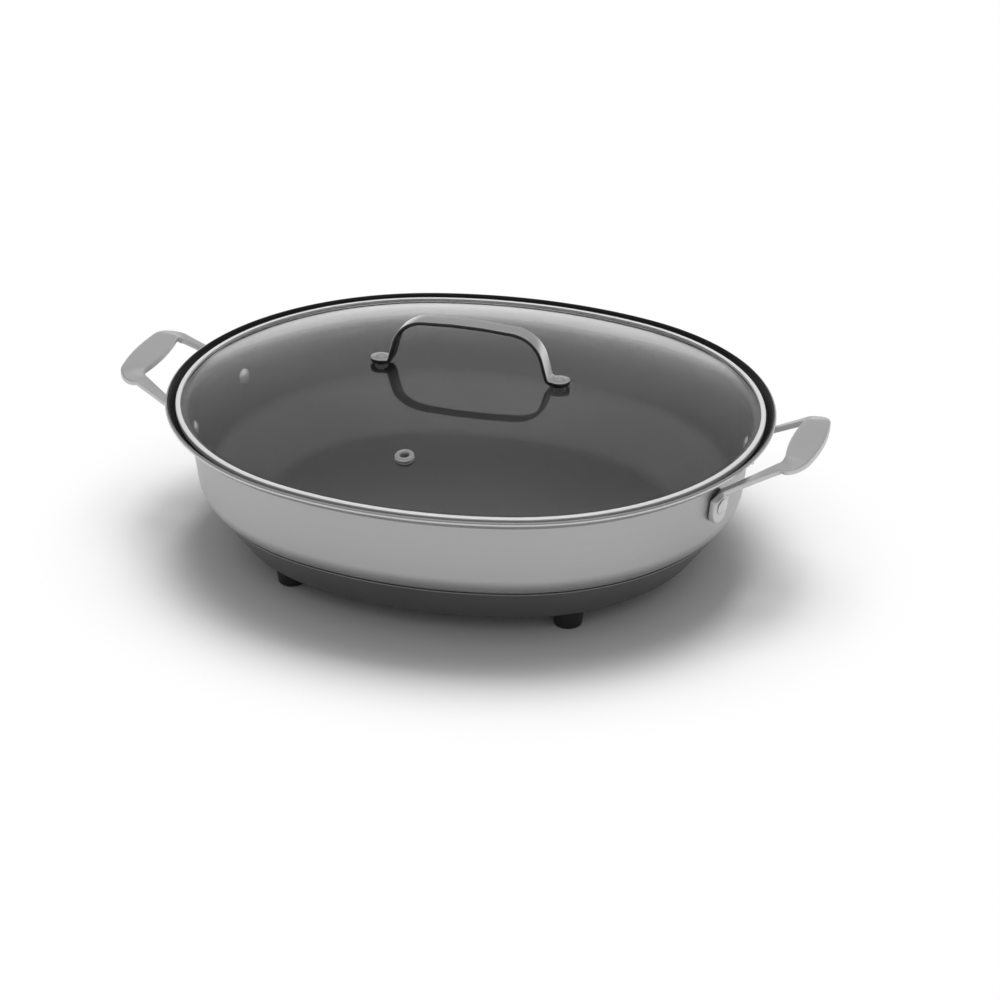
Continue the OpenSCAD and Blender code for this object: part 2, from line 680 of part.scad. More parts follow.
module at_vent() {
  translate([vent_x, vent_y, vent_z]) rotate([0, 0, -vent_turn]) rotate([0, vent_tilt, 0]) children();
}

module lid_glass() {
  color(clear) difference() {
    union() {
      oval_sweep() strip([glass_edge, glass_edge_z], 0, dome_steps, glass_thickness);
      translate([0, 0, glass_under]) linear_extrude(glass_thickness) oval(dome_centre + flat_run / 2);
    }
    for (x = [-lid_rivet_x, lid_rivet_x]) translate([x, 0, glass_under - over])
      cylinder(r = glass_hole, h = glass_thickness + 2 * over);
    at_vent() translate([0, 0, -2 * glass_thickness])
      cylinder(r = vent_bore + band_wall + fit_gap, h = 4 * glass_thickness);
  }
}

module lid_band() {
  color(bright) oval_sweep() difference() {
    translate([band_inset, band_under]) square([band_width, band_top - band_under]);
    translate([band_inset + band_wall, band_under + band_wall])
      square([band_width, band_top - band_under - 2 * band_wall]);
  }
}

module lid_handle() {
  color(steel) difference() {
    union() {
      translate([0, strap_width / 2, 0]) rotate([90, 0, 0]) linear_extrude(strap_width)
        strip([-lid_rivet_x, strap_z], 0, arch_steps, strap_thickness);
      for (x = [-lid_rivet_x, lid_rivet_x]) translate([x, 0, tab_z])
        cylinder(r = tab_radius, h = strap_thickness);
    }
    for (x = [-lid_rivet_x, lid_rivet_x]) translate([x, 0, tab_z - over])
      cylinder(r = lid_rivet_radius + fit_gap, h = strap_thickness + 2 * over);
  }
}

module lid_washers() {
  color(black) for (x = [-lid_rivet_x, lid_rivet_x]) translate([x, 0, glass_top]) difference() {
    cylinder(r = tab_radius - washer_thickness, h = washer_thickness);
    translate([0, 0, -over]) cylinder(r = lid_rivet_radius + fit_gap, h = washer_thickness + 2 * over);
  }
}

module lid_rivets() {
  color(bright) for (x = [-lid_rivet_x, lid_rivet_x]) translate([x, 0, 0]) {
    translate([0, 0, glass_under - nut_height / 2])
      cylinder(r = lid_rivet_radius, h = tab_z + strap_thickness - glass_under + nut_height / 2);
    translate([0, 0, tab_z + strap_thickness]) rotate([180, 0, 0])
      dome(lid_rivet_head, lid_head_height);
  }
}

module lid_nuts() {
  color(bright) for (x = [-lid_rivet_x, lid_rivet_x]) translate([x, 0, glass_under - nut_height])
    difference() {
      union() {
        cylinder(r = nut_radius, h = nut_height, $fn = 6);
        dome(nut_radius * cos(30), nut_height / 2);
      }
      translate([0, 0, nut_height / 2])
        cylinder(r = lid_rivet_radius + fit_gap, h = nut_height);
    }
}

module vent_eyelet() {
  lift = glass_thickness + 2 * band_wall;
  color(bright) at_vent() rotate_extrude() {
    translate([vent_bore, -glass_thickness - band_wall]) square([band_wall, lift]);
    translate([vent_bore, -glass_thickness - 2 * band_wall])
      square([vent_radius - vent_bore, band_wall]);
    intersection() {
      translate([(vent_bore + vent_radius) / 2, 0]) circle(r = (vent_radius - vent_bore) / 2);
      translate([vent_bore, 0]) square([vent_radius - vent_bore, vent_radius]);
    }
  }
}

pan();
heat_plate();
heating_element();
base_cap();
terminal_pins();
pin_insulators();
probe_sleeve();
inlet_guard();
guard_screws();
foot_front_left();
foot_front_right();
foot_back_left();
foot_back_right();
foot_screws();
left_handle();
right_handle();
left_handle_rivets();
right_handle_rivets();
lid_glass();
lid_band();
lid_handle();
lid_washers();
lid_rivets();
lid_nuts();
vent_eyelet();
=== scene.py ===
"""Oval electric skillet: a brushed steel pan with a dark lining on a heated base,
two cast side handles and a domed glass lid with a strap handle. Metres."""

from math import (asin, atan, atan2, ceil, copysign, cos, hypot, pi,
                  radians, sin, sqrt, tan, tau)

import bmesh
import bpy
from mathutils import Matrix, Vector


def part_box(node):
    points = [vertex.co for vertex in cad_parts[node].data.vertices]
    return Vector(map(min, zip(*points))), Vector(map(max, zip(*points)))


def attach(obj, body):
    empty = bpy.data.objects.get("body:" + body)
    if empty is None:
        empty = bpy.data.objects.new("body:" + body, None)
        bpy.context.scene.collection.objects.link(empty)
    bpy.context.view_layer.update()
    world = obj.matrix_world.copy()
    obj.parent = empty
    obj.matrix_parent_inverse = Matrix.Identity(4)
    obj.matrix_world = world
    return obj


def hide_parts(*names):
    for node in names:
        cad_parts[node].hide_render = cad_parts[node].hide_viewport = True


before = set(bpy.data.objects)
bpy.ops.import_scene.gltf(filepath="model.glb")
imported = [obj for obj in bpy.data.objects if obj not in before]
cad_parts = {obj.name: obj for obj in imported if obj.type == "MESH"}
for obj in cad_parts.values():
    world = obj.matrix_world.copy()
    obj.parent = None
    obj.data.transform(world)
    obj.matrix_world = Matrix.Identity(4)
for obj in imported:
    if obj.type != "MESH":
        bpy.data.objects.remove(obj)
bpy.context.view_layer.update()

bl_info = {
    "name": "Oval Skillet",
    "version": (1, 0, 0),
    "blender": (4, 5, 0),
    "location": "View3D > Sidebar > Skillet",
    "description": "Builds an oval skillet with a glass lid over its measured frame",
    "category": "Add Mesh",
}

MM = 0.001


# Sizes and finishes that a user would change

def length(name, text, value):
    return bpy.props.FloatProperty(name=name, description=text, default=value * MM,
                                   min=0.0, subtype="DISTANCE", unit="LENGTH", precision=5)


def angle(name, text, value):
    return bpy.props.FloatProperty(name=name, description=text,
                                   default=radians(value), subtype="ANGLE", unit="ROTATION")


def tint(name, text, value):
    return bpy.props.FloatVectorProperty(name=name, description=text, default=value,
                                         min=0.0, max=1.0, size=3, subtype="COLOR")


class SkilletPanSizes(bpy.types.PropertyGroup):
    """Sizes of the pan and its base"""
    rim_length: length("Rim length", "Length of the rim without the handles", 402.4)
    rim_depth: length("Rim depth", "Depth of the rim from front to back", 351.4)
    rim_top: length("Rim height", "Height of the rim above the table", 105.9)
    sheet: length("Pan sheet", "Thickness of the pan's sheet", 1.5)
    bead: length("Bead radius", "Radius of the rolled bead round the rim", 1.4)
    taper: angle("Wall taper", "Lean of the wall from upright", 7.0)
    bowl: length("Bowl radius", "Radius where the wall turns under", 17.0)
    slope: angle("Bowl slope", "Slope of the lower bowl from upright", 60.0)
    floor_bend: length("Floor radius", "Radius where the bowl meets the floor", 30.0)
    floor_top: length("Floor height", "Height of the cooking floor", 25.5)
    base_low: length("Base height", "Height of the base's underside", 14.0)
    cap_slope: angle("Base slope", "Slope of the base's side from upright", 36.0)
    cap_bend: length("Base corner", "Radius round the foot of the base", 8.0)


class SkilletHandleSizes(bpy.types.PropertyGroup):
    """Sizes of the two side handles"""
    reach: length("Reach", "How far a handle reaches past the rim", 35.6)
    grip: length("Grip width", "Width of the grip at its middle", 21.5)
    bow: length("Grip bow", "How far the grip's inner edge bows towards the pan", 2.3)
    thick: length("Grip thickness", "Thickness of the grip", 5.4)
    span: length("Half span", "Half the straight length of the hand hole", 28.0)
    arm: length("Arm width", "Width of an arm near the pan", 5.6)
    arm_thick: length("Arm thickness", "Thickness of an arm", 3.8)
    splay: angle("Arm splay", "How far the arms spread towards the pan", 18.0)
    rise: angle("Arm rise", "Rise of an arm from level", 28.0)
    pad: length("Pad width", "Width of a riveted pad", 17.0)
    pad_thick: length("Pad thickness", "Thickness of a riveted pad", 5.0)
    rivet_y: length("Rivet place", "Distance of a rivet from the handle's middle", 44.5)
    rivet_drop: length("Rivet drop", "Height of the rivets below the rim", 28.0)


class SkilletLidSizes(bpy.types.PropertyGroup):
    """Sizes of the glass lid and its handle"""
    glass: length("Glass", "Thickness of the glass", 3.2)
    rise: length("Dome rise", "Rise of the dome from its edge", 20.6)
    rivet_x: length("Handle rivets", "Distance of a lid rivet from the middle", 61.0)
    arch: length("Arch height", "Height of the arch above the glass", 35.6)
    strap: length("Strap width", "Width of the strap handle", 12.0)
    strap_thick: length("Strap thickness", "Thickness of the strap", 2.6)
    vent_x: length("Vent along", "Distance of the vent left of the middle", 5.0)
    vent_y: length("Vent across", "Distance of the vent in front of the middle", 117.0)


class SkilletFinishes(bpy.types.PropertyGroup):
    """Colours of the skillet's finishes"""
    steel: tint("Brushed steel", "Colour of the brushed outer wall", (0.435, 0.435, 0.435))
    bright: tint("Bright steel", "Colour of the polished rim", (0.62, 0.62, 0.62))
    band: tint("Lid band", "Colour of the lid's steel band", (0.96, 0.96, 0.96))
    cast: tint("Cast handles", "Colour of the satin castings", (0.66, 0.66, 0.66))
    strap: tint("Strap steel", "Colour of the lid's strap handle", (0.66, 0.66, 0.66))
    lining: tint("Lining", "Colour of the dark lining", (0.012, 0.012, 0.0125))
    base: tint("Base steel", "Colour of the darker base", (0.21, 0.21, 0.21))
    glass: tint("Glass", "Colour of the lid's glass", (0.94, 0.94, 0.94))
    black: tint("Black plastic", "Colour of the feet and washers", (0.012, 0.012, 0.012))


# Values between two others

def mix(a, b, t):
    return a + (b - a) * t


def ease(t):
    return (1 - cos(pi * t)) / 2


# Walking along a section: x runs inwards from the rim's edge, y is the height

def along(h):
    return Vector((cos(h), sin(h)))


def normal_at(h):
    return Vector((-sin(h), cos(h)))


def step_end(p, h, s):
    run, turn = s
    if turn == 0:
        return p + run * along(h)
    return p + copysign(run, turn) * (normal_at(h) - normal_at(h + turn))


def walk(p, h, steps):
    for s in steps:
        p, h = step_end(p, h, s), h + s[1]
    return p, h


def stations(p, h, steps, bend=radians(6), run=0.02):
    """Middle points with their headings along a list of steps."""
    out = [(p.copy(), h)]
    for s in steps:
        if s[1] == 0:
            n = max(1, ceil(s[0] / run))
            for i in range(1, n + 1):
                out.append((p + s[0] * i / n * along(h), h))
        else:
            n = max(2, ceil(abs(s[1]) / bend))
            for i in range(1, n + 1):
                out.append((step_end(p, h, (s[0], s[1] * i / n)), h + s[1] * i / n))
        p, h = step_end(p, h, s), h + s[1]
    return out


def offset(line, side):
    return [p + side * normal_at(h) for p, h in line]


def rounded(corners, radius, parts=4):
    """Closed outline with its corners rounded; anticlockwise corners."""
    corners = [Vector(q) for q in corners]
    out = []
    n = len(corners)
    for i, c in enumerate(corners):
        a, b = corners[i - 1] - c, corners[(i + 1) % n] - c
        r = min(radius, a.length * 0.49, b.length * 0.49)
        p, q = c + a.normalized() * r, c + b.normalized() * r
        for k in range(parts + 1):
            t = k / parts
            out.append((1 - t) ** 2 * p + 2 * t * (1 - t) * c + t * t * q)
    return out


# The four-arc oval

MEET = (0.28, 0.96)


def oval_frame(pan):
    gap = (pan.rim_length - pan.rim_depth) / 2 / (MEET[0] + MEET[1] - 1)
    end_c, side_c = MEET[0] * gap, MEET[1] * gap
    return end_c, side_c, pan.rim_length / 2 - end_c, pan.rim_depth / 2 + side_c


def oval_loop(pan, ends=72, sides=28):
    """Arc centres, radii and directions round the oval, anticlockwise."""
    end_c, side_c, r_end, r_side = oval_frame(pan)
    sweep = atan2(MEET[1], MEET[0])
    lean = pi / 2 - sweep
    loop = []
    for centre, radius, middle, half, n in (
            ((end_c, 0), r_end, 0.0, sweep, ends),
            ((0, -side_c), r_side, pi / 2, lean, sides),
            ((-end_c, 0), r_end, pi, sweep, ends),
            ((0, side_c), r_side, -pi / 2, lean, sides)):
        for i in range(n):
            a = middle - half + 2 * half * i / n
            loop.append((centre[0], centre[1], radius, cos(a), sin(a)))
    return loop


def oval_ring(loop, inset, z):
    return [(cx + (r - inset) * c, cy + (r - inset) * s, z) for cx, cy, r, c, s in loop]


# Making meshes

SHARP = radians(32)


def new_object(name, data):
    item = bpy.data.objects.new(name, data)
    bpy.context.scene.collection.objects.link(item)
    return item


def mesh_from(bm, name, finishes=()):
    """Turns a bmesh into a mesh with its faces outwards; finishes are names."""
    bmesh.ops.recalc_face_normals(bm, faces=bm.faces)
    mesh = bpy.data.meshes.new(name)
    bm.to_mesh(mesh)
    bm.free()
    for f in finishes:
        mesh.materials.append(finish(f))
    return mesh


def smooth(mesh, sharp=SHARP):
    mesh.shade_smooth()
    mesh.set_sharp_from_angle(angle=sharp)


def dress(piece, body, nodes):
    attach(piece, body)
    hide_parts(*nodes)


def finish_piece(name, bm, finishes, body, nodes, sharp=SHARP):
    """Turns a bmesh into a finished piece of the skillet."""
    piece = new_object(name, mesh_from(bm, name, finishes))
    smooth(piece.data, sharp)
    dress(piece, body, nodes)
    return piece


def skin(bm, rings, marks=None, closed=False):
    """Joins rings of points with faces, and closes the ends of an open row. marks gives
    a material for each step from ring to ring; the first and last also mark the ends."""
    made = [[bm.verts.new(q) for q in ring] for ring in rings]
    n = len(made[0])
    count = len(made) if closed else len(made) - 1
    marks = marks or [0] * count
    for i in range(count):
        a, b = made[i], made[(i + 1) % len(made)]
        for j in range(n):
            k = (j + 1) % n
            bm.faces.new((a[j], a[k], b[k], b[j])).material_index = marks[i]
    if not closed:
        for ring, mark in ((made[0], marks[0]), (made[-1], marks[-1])):
            bm.faces.new(ring).material_index = mark


def sweep(bm, pan, outline, marks=None, closed=False):
    """Sweeps section points, which are pairs or vectors, round the oval."""
    loop = oval_loop(pan)
    skin(bm, [oval_ring(loop, *Vector(p)) for p in outline], marks, closed)


def turned_mesh(name, outline, of, parts=40):
    """A shape turned about Z: outline points are (radius, height)."""
    bm = bmesh.new()
    rings = []
    for r, z in outline:
        around = parts if r > 1e-7 else 1
        rings.append([bm.verts.new((r * cos(tau * j / parts),
                                    r * sin(tau * j / parts), z))
                      for j in range(around)])
    for a, b in zip(rings, rings[1:]):
        for j in range(parts):
            k = (j + 1) % parts
            corners = (a[j % len(a)], b[j % len(b)], b[k % len(b)], a[k % len(a)])
            bm.faces.new(list(dict.fromkeys(corners)))
    mesh = mesh_from(bm, name, [of])
    smooth(mesh)
    return mesh


def bake(piece, modifier):
    """Works a modifier into the piece's mesh and removes it."""
    bpy.context.view_layer.update()
    graph = bpy.context.evaluated_depsgraph_get()
    done = bpy.data.meshes.new_from_object(piece.evaluated_get(graph))
    piece.modifiers.remove(modifier)
    old, piece.data = piece.data, done
    name = old.name
    bpy.data.meshes.remove(old)
    done.name = name
    smooth(done)


def carve(piece, cutter_mesh):
    """Cuts a closed mesh out of a piece."""
    cutter = new_object("cutter", cutter_mesh)
    cut = piece.modifiers.new("Cut", "BOOLEAN")
    cut.operation, cut.solver, cut.object = "DIFFERENCE", "EXACT", cutter
    bake(piece, cut)
    bpy.data.objects.remove(cutter)
    bpy.data.meshes.remove(cutter_mesh)


def box_mesh(name, low, high):
    bm = bmesh.new()
    bmesh.ops.create_cube(bm, size=1.0)
    for v in bm.verts:
        v.co = Vector([mix(low[i], high[i], v.co[i] + 0.5) for i in range(3)])
    return mesh_from(bm, name)


# Shader nodes

class Tree:
    """Small helper that adds and links nodes; a node given as a source is its first output."""

    def __init__(self, tree):
        self.tree = tree

    def add(self, kind, inputs=None, **values):
        node = self.tree.nodes.new(kind)
        for k, v in values.items():
            setattr(node, k, v)
        for k, v in (inputs or {}).items():
            if isinstance(v, (bpy.types.Node, bpy.types.NodeSocket)):
                self.link(v, node.inputs[k])
            else:
                node.inputs[k].default_value = v
        return node

    def maths(self, operation, *inputs, **values):
        return self.add("ShaderNodeMath", dict(enumerate(inputs)), operation=operation, **values)

    def link(self, source, socket):
        if isinstance(source, bpy.types.Node):
            source = source.outputs[0]
        self.tree.links.new(source, socket)


def new_group(name, kind, inputs, outputs):
    tree = bpy.data.node_groups.new(name, kind)
    for label, socket_kind, value in inputs:
        s = tree.interface.new_socket(label, in_out="INPUT", socket_type="NodeSocket" + socket_kind)
        if value is not None:
            s.default_value = value
    for label, socket_kind in outputs:
        tree.interface.new_socket(label, in_out="OUTPUT", socket_type="NodeSocket" + socket_kind)
    t = Tree(tree)
    return tree, t, t.add("NodeGroupInput").outputs, t.add("NodeGroupOutput").inputs


FINISH_OUTPUTS = [("Colour", "Color"), ("Roughness", "Float"),
                  ("Height", "Float")]


def vary(t, gi, go, fine, soft):
    """Two noises vary the colour and roughness; the fine one is also the height."""
    both = t.maths("ADD", fine.outputs["Fac"], soft.outputs["Fac"])
    centred = t.maths("SUBTRACT", both, 1.0)
    amount = t.maths("MULTIPLY_ADD", centred, gi["Contrast"], 1.0)
    colour = t.add("ShaderNodeVectorMath", operation="SCALE",
                   inputs={0: gi["Colour"], "Scale": amount})
    rough = t.maths("MULTIPLY_ADD", centred, gi["Variation"], gi["Roughness"], use_clamp=True)
    t.link(colour, go["Colour"])
    t.link(rough, go["Roughness"])
    t.link(fine.outputs["Fac"], go["Height"])


def brushed_group():
    """Fine lines stretched along two directions, with softer clouds over them."""
    tree, t, gi, go = new_group(
        "Brushed lines", "ShaderNodeTree",
        [("Colour", "Color", (0.5, 0.5, 0.5, 1)),
         ("Stretch", "Vector", (6, 6, 900)), ("Contrast", "Float", 0.1),
         ("Roughness", "Float", 0.35), ("Variation", "Float", 0.08)],
        FINISH_OUTPUTS)
    place = t.add("ShaderNodeTexCoord").outputs["Object"]
    drawn = t.add("ShaderNodeMapping", {"Vector": place, "Scale": gi["Stretch"]})
    lines = t.add("ShaderNodeTexNoise", {"Vector": drawn, "Scale": 1.0,
                                         "Detail": 4.0, "Roughness": 0.65})
    clouds = t.add("ShaderNodeTexNoise", {"Vector": place, "Scale": 14.0,
                                          "Detail": 3.0, "Roughness": 0.5})
    vary(t, gi, go, lines, clouds)
    return tree


def speckle_group():
    """Grain and soft patches for cast metal, lining, glass dust and plastic."""
    tree, t, gi, go = new_group(
        "Fine grain", "ShaderNodeTree",
        [("Colour", "Color", (0.1, 0.1, 0.1, 1)), ("Grain", "Float", 1800.0),
         ("Patches", "Float", 25.0), ("Contrast", "Float", 0.15),
         ("Roughness", "Float", 0.4), ("Variation", "Float", 0.1)],
        FINISH_OUTPUTS)
    place = t.add("ShaderNodeTexCoord").outputs["Object"]
    grain = t.add("ShaderNodeTexNoise", {"Vector": place, "Scale": gi["Grain"],
                                         "Detail": 2.0, "Roughness": 0.6})
    patches = t.add("ShaderNodeTexNoise", {"Vector": place, "Scale": gi["Patches"], "Detail": 4.0})
    vary(t, gi, go, grain, patches)
    return tree


def group_named(name, make):
    return bpy.data.node_groups.get(name) or make()


def new_material(name):
    """An empty node material, its tree and its output node."""
    material = bpy.data.materials.new(name)
    material.use_nodes = True
    t = Tree(material.node_tree)
    t.tree.nodes.clear()
    return material, t, t.add("ShaderNodeOutputMaterial")


BUMP_DEPTH = 0.05 * MM


def surface(name, group, group_values, metallic, bump=0.0, **sockets):
    """A material whose colour, roughness and bump come from a shared group."""
    material, t, out = new_material(name)
    shader = t.add("ShaderNodeBsdfPrincipled")
    effect = t.add("ShaderNodeGroup")
    effect.node_tree = group
    for k, v in group_values.items():
        effect.inputs[k].default_value = v
    shader.inputs["Metallic"].default_value = metallic
    for k, v in sockets.items():
        shader.inputs[k.replace("_", " ")].default_value = v
    t.link(effect.outputs["Colour"], shader.inputs["Base Color"])
    t.link(effect.outputs["Roughness"], shader.inputs["Roughness"])
    if bump:
        relief = t.add("ShaderNodeBump", {"Strength": bump, "Distance": BUMP_DEPTH,
                                          "Height": effect.outputs["Height"]})
        t.link(relief.outputs["Normal"], shader.inputs["Normal"])
    t.link(shader, out.inputs["Surface"])
    return material


def rgba(colour):
    return (colour[0], colour[1], colour[2], 1.0)


def finish(name):
    """One of the scene's materials by its name, made once."""
    look = bpy.context.scene.skillet_finishes
    lines = group_named("Brushed lines", brushed_group)
    grain = group_named("Fine grain", speckle_group)

    def brushed(name, colour, stretch, rough, contrast=0.1, bump=0.05, metallic=1.0):
        return surface(name, lines, {"Colour": rgba(colour), "Stretch": stretch,
                                     "Contrast": contrast, "Roughness": rough,
                                     "Variation": 0.08}, metallic, bump)

    def grained(name, colour, size, rough, metallic, contrast=0.15, bump=0.1):
        return surface(name, grain, {"Colour": rgba(colour), "Grain": size,
                                     "Contrast": contrast, "Roughness": rough}, metallic, bump)

    makers = {
        "Brushed wall": (brushed, look.steel, (5, 5, 700), 0.42, 0.1, 0.05, 0.8),
        "Bright rim": (brushed, look.bright, (30, 30, 900), 0.18, 0.05, 0.0, 0.6),
        # Painted shade and painted reflection: near-black steel for the strap's downward and
        # sideways faces
        "Dark steel": (brushed, (0.06, 0.06, 0.06), (5, 700, 700), 0.35),
        "Band steel": (brushed, look.band, (30, 30, 900), 0.2, 0.05, 0.0, 0.25),
        "Dark lining": (grained, look.lining, 2400.0, 0.34, 0.0, 0.3, 0.03),
        "Base steel": (brushed, look.base, (5, 5, 500), 0.45),
        "Satin casting": (grained, look.cast, 1500.0, 0.42, 0.5, 0.08, 0.15),
        "Strap steel": (brushed, look.strap, (5, 700, 700), 0.25, 0.08, 0.05, 0.6),
        "Polished pins": (brushed, (0.75, 0.74, 0.72), (200, 20, 200), 0.18),
        "White ceramic": (grained, (0.78, 0.75, 0.69), 900.0, 0.35, 0.0),
        "Black plastic": (grained, look.black, 2600.0, 0.42, 0.0, 0.3, 0.25),
        "Cast plate": (grained, (0.45, 0.45, 0.46), 700.0, 0.5, 1.0, 0.2, 0.4),
        "Heater sheath": (grained, (0.2, 0.2, 0.2), 900.0, 0.5, 1.0, 0.3),
        "Lid glass": (glass_material, look.glass, grain),
        "Pale floor": (floor_material, 0.86, 0.15, 0.265),
        "Studio ceiling": (ceiling_material,),
    }
    kind, *values = makers[name]
    return bpy.data.materials.get(name) or kind(name, *values)


def glass_material(name, colour, grain):
    """Clear tempered glass that lets light through to what it covers."""
    material = surface(name, grain, {"Colour": rgba(colour), "Grain": 500.0, "Contrast": 0.01,
                                     "Roughness": 0.0, "Variation": 0.01}, 0.0,
                       Transmission_Weight=1.0, IOR=1.45, Specular_IOR_Level=0.3)
    t = Tree(material.node_tree)
    shader = next(n for n in t.tree.nodes if n.type == "BSDF_PRINCIPLED")
    out = next(n for n in t.tree.nodes if n.type == "OUTPUT_MATERIAL")
    path = t.add("ShaderNodeLightPath")
    clear = t.add("ShaderNodeBsdfTransparent", {"Color": (0.9, 0.9, 0.9, 1)})
    both = t.add("ShaderNodeMixShader", {0: path.outputs["Is Shadow Ray"], 1: shader, 2: clear})
    t.link(both, out.inputs["Surface"])
    return material


# Geometry Nodes: one fastener set on every marked place

def fastener_tree():
    tree, t, gi, go = new_group(
        "Fasteners on places", "GeometryNodeTree",
        [("Geometry", "Geometry", None), ("Fastener", "Object", None), ("Size", "Float", 1.0),
         ("Spin", "Float", 0.0), ("Seed", "Int", 7), ("Finish", "Material", None)],
        [("Geometry", "Geometry")])
    shape = t.add("GeometryNodeObjectInfo", {"Object": gi["Fastener"]})
    axis = t.add("GeometryNodeInputNamedAttribute", data_type="FLOAT_VECTOR",
                 inputs={"Name": "axis"})
    aim = t.add("FunctionNodeAlignRotationToVector", axis="Z",
                inputs={"Vector": axis.outputs["Attribute"]})
    spin = t.add("FunctionNodeRandomValue", data_type="FLOAT",
                 inputs={"Seed": gi["Seed"], 2: -1.0, 3: 1.0})
    turn = t.maths("MULTIPLY", spin.outputs[1], gi["Spin"])
    about = t.add("FunctionNodeAxisAngleToRotation", {"Axis": (0, 0, 1), "Angle": turn})
    whole = t.add("FunctionNodeRotateRotation", rotation_space="LOCAL", inputs={0: aim, 1: about})
    place = t.add("GeometryNodeInstanceOnPoints",
                  {"Points": gi["Geometry"], "Instance": shape.outputs["Geometry"],
                   "Rotation": whole, "Scale": gi["Size"]})
    real = t.add("GeometryNodeRealizeInstances", {0: place})
    painted = t.add("GeometryNodeSetMaterial", {"Geometry": real, "Material": gi["Finish"]})
    t.link(painted, go[0])
    return tree


def scatter(name, mesh, places, body, nodes, spin=0.0):
    """Sets a small turned part on places, each a point and an axis, as one plain mesh."""
    tree = group_named("Fasteners on places", fastener_tree)
    source = new_object(name + "_shape", mesh)
    points = bpy.data.meshes.new(name)
    points.from_pydata([p for p, _ in places], [], [])
    axes = points.attributes.new("axis", "FLOAT_VECTOR", "POINT")
    for i, (_, axis) in enumerate(places):
        axes.data[i].vector = axis
    piece = new_object(name, points)
    grow = piece.modifiers.new("Fasteners", "NODES")
    grow.node_group = tree
    ids = {s.name: s.identifier for s in tree.interface.items_tree if s.in_out == "INPUT"}
    for label, value in (("Fastener", source), ("Size", 1.0), ("Spin", spin), ("Seed", 7),
                         ("Finish", mesh.materials[0])):
        grow[ids[label]] = value
    bake(piece, grow)
    bpy.data.objects.remove(source)
    bpy.data.meshes.remove(mesh)
    if not piece.data.polygons:
        raise RuntimeError(name + " came out empty")
    carried = piece.data.attributes.get("axis")
    if carried:
        piece.data.attributes.remove(carried)
    dress(piece, body, nodes)


# Sections that several pieces need

LIP_SLOPE, LIP_RUN, LIP_FILLET = radians(50), 5 * MM, 2 * MM
SEAT_FALL, SEAT_WIDTH, SHOULDER = radians(8), 6.6 * MM, 4 * MM
WALL_RUN, LEVEL_RUN = 40 * MM, 4 * MM
CAP_SHEET, CAP_GAP = 1 * MM, 0.2 * MM


def pan_section(pan):
    """Middle line of the pan's sheet (start, heading, steps), the place where the base
    cap meets it and the top of its wall."""
    start = Vector((pan.bead, pan.rim_top - pan.bead))
    rim = [(LIP_RUN, 0), (LIP_FILLET, LIP_SLOPE - SEAT_FALL), (SEAT_WIDTH, 0),
           (SHOULDER, pan.taper + SEAT_FALL - pi / 2), (WALL_RUN, 0),
           (pan.bowl, pan.slope - pan.taper)]
    end, _ = walk(start, -LIP_SLOPE, rim)
    middle = pan.floor_top - pan.sheet / 2
    run = (end.y - middle - pan.floor_bend * (1 - sin(pan.slope))) / cos(pan.slope)
    steps = rim + [(run, 0), (pan.floor_bend, pi / 2 - pan.slope), (LEVEL_RUN, 0)]
    wall, _ = walk(start, -LIP_SLOPE, rim[:4])
    return start, -LIP_SLOPE, steps, end, wall


def wall_radius(pan, z):
    """Radius of the pan's outer face about an end centre."""
    _, _, r_end, _ = oval_frame(pan)
    *_, wall = pan_section(pan)
    inset = wall.x - pan.sheet / 2 / cos(pan.taper)
    return r_end - inset - (wall.y - z) * tan(pan.taper)


def rivet_places(pan, grip, side):
    """Centres on the wall and outward axes of one handle's rivets; side is 1 or -1."""
    end_c = oval_frame(pan)[0]
    z = pan.rim_top - grip.rivet_drop
    r = wall_radius(pan, z)
    turn = asin(grip.rivet_y / r)
    out = []
    for s in (-1, 1):
        d = Vector((cos(s * turn), sin(s * turn), 0))
        out.append((Vector((side * (end_c + r * d.x), side * r * d.y, z)),
                    Vector((side * d.x * cos(pan.taper), side * d.y * cos(pan.taper),
                            -sin(pan.taper)))))
    return out


def base_section(pan):
    """Middle line of the base cap's sheet: start, heading and steps."""
    *_, end, _ = pan_section(pan)
    heading = pan.cap_slope - pi / 2
    p = end - (pan.sheet / 2 + CAP_GAP) * normal_at(pan.slope - pi / 2) \
        - CAP_SHEET / 2 * normal_at(heading)
    run = (p.y - pan.base_low - CAP_SHEET / 2
           - pan.cap_bend * (1 - sin(pan.cap_slope))) / cos(pan.cap_slope)
    return p, heading, [(run, 0), (pan.cap_bend, pi / 2 - pan.cap_slope), (LEVEL_RUN, 0)]


def towards(q, x, shares):
    """Points on the level of q, at shares of the way to x."""
    return [Vector((q.x + (x - q.x) * t, q.y)) for t in shares]


# Pieces

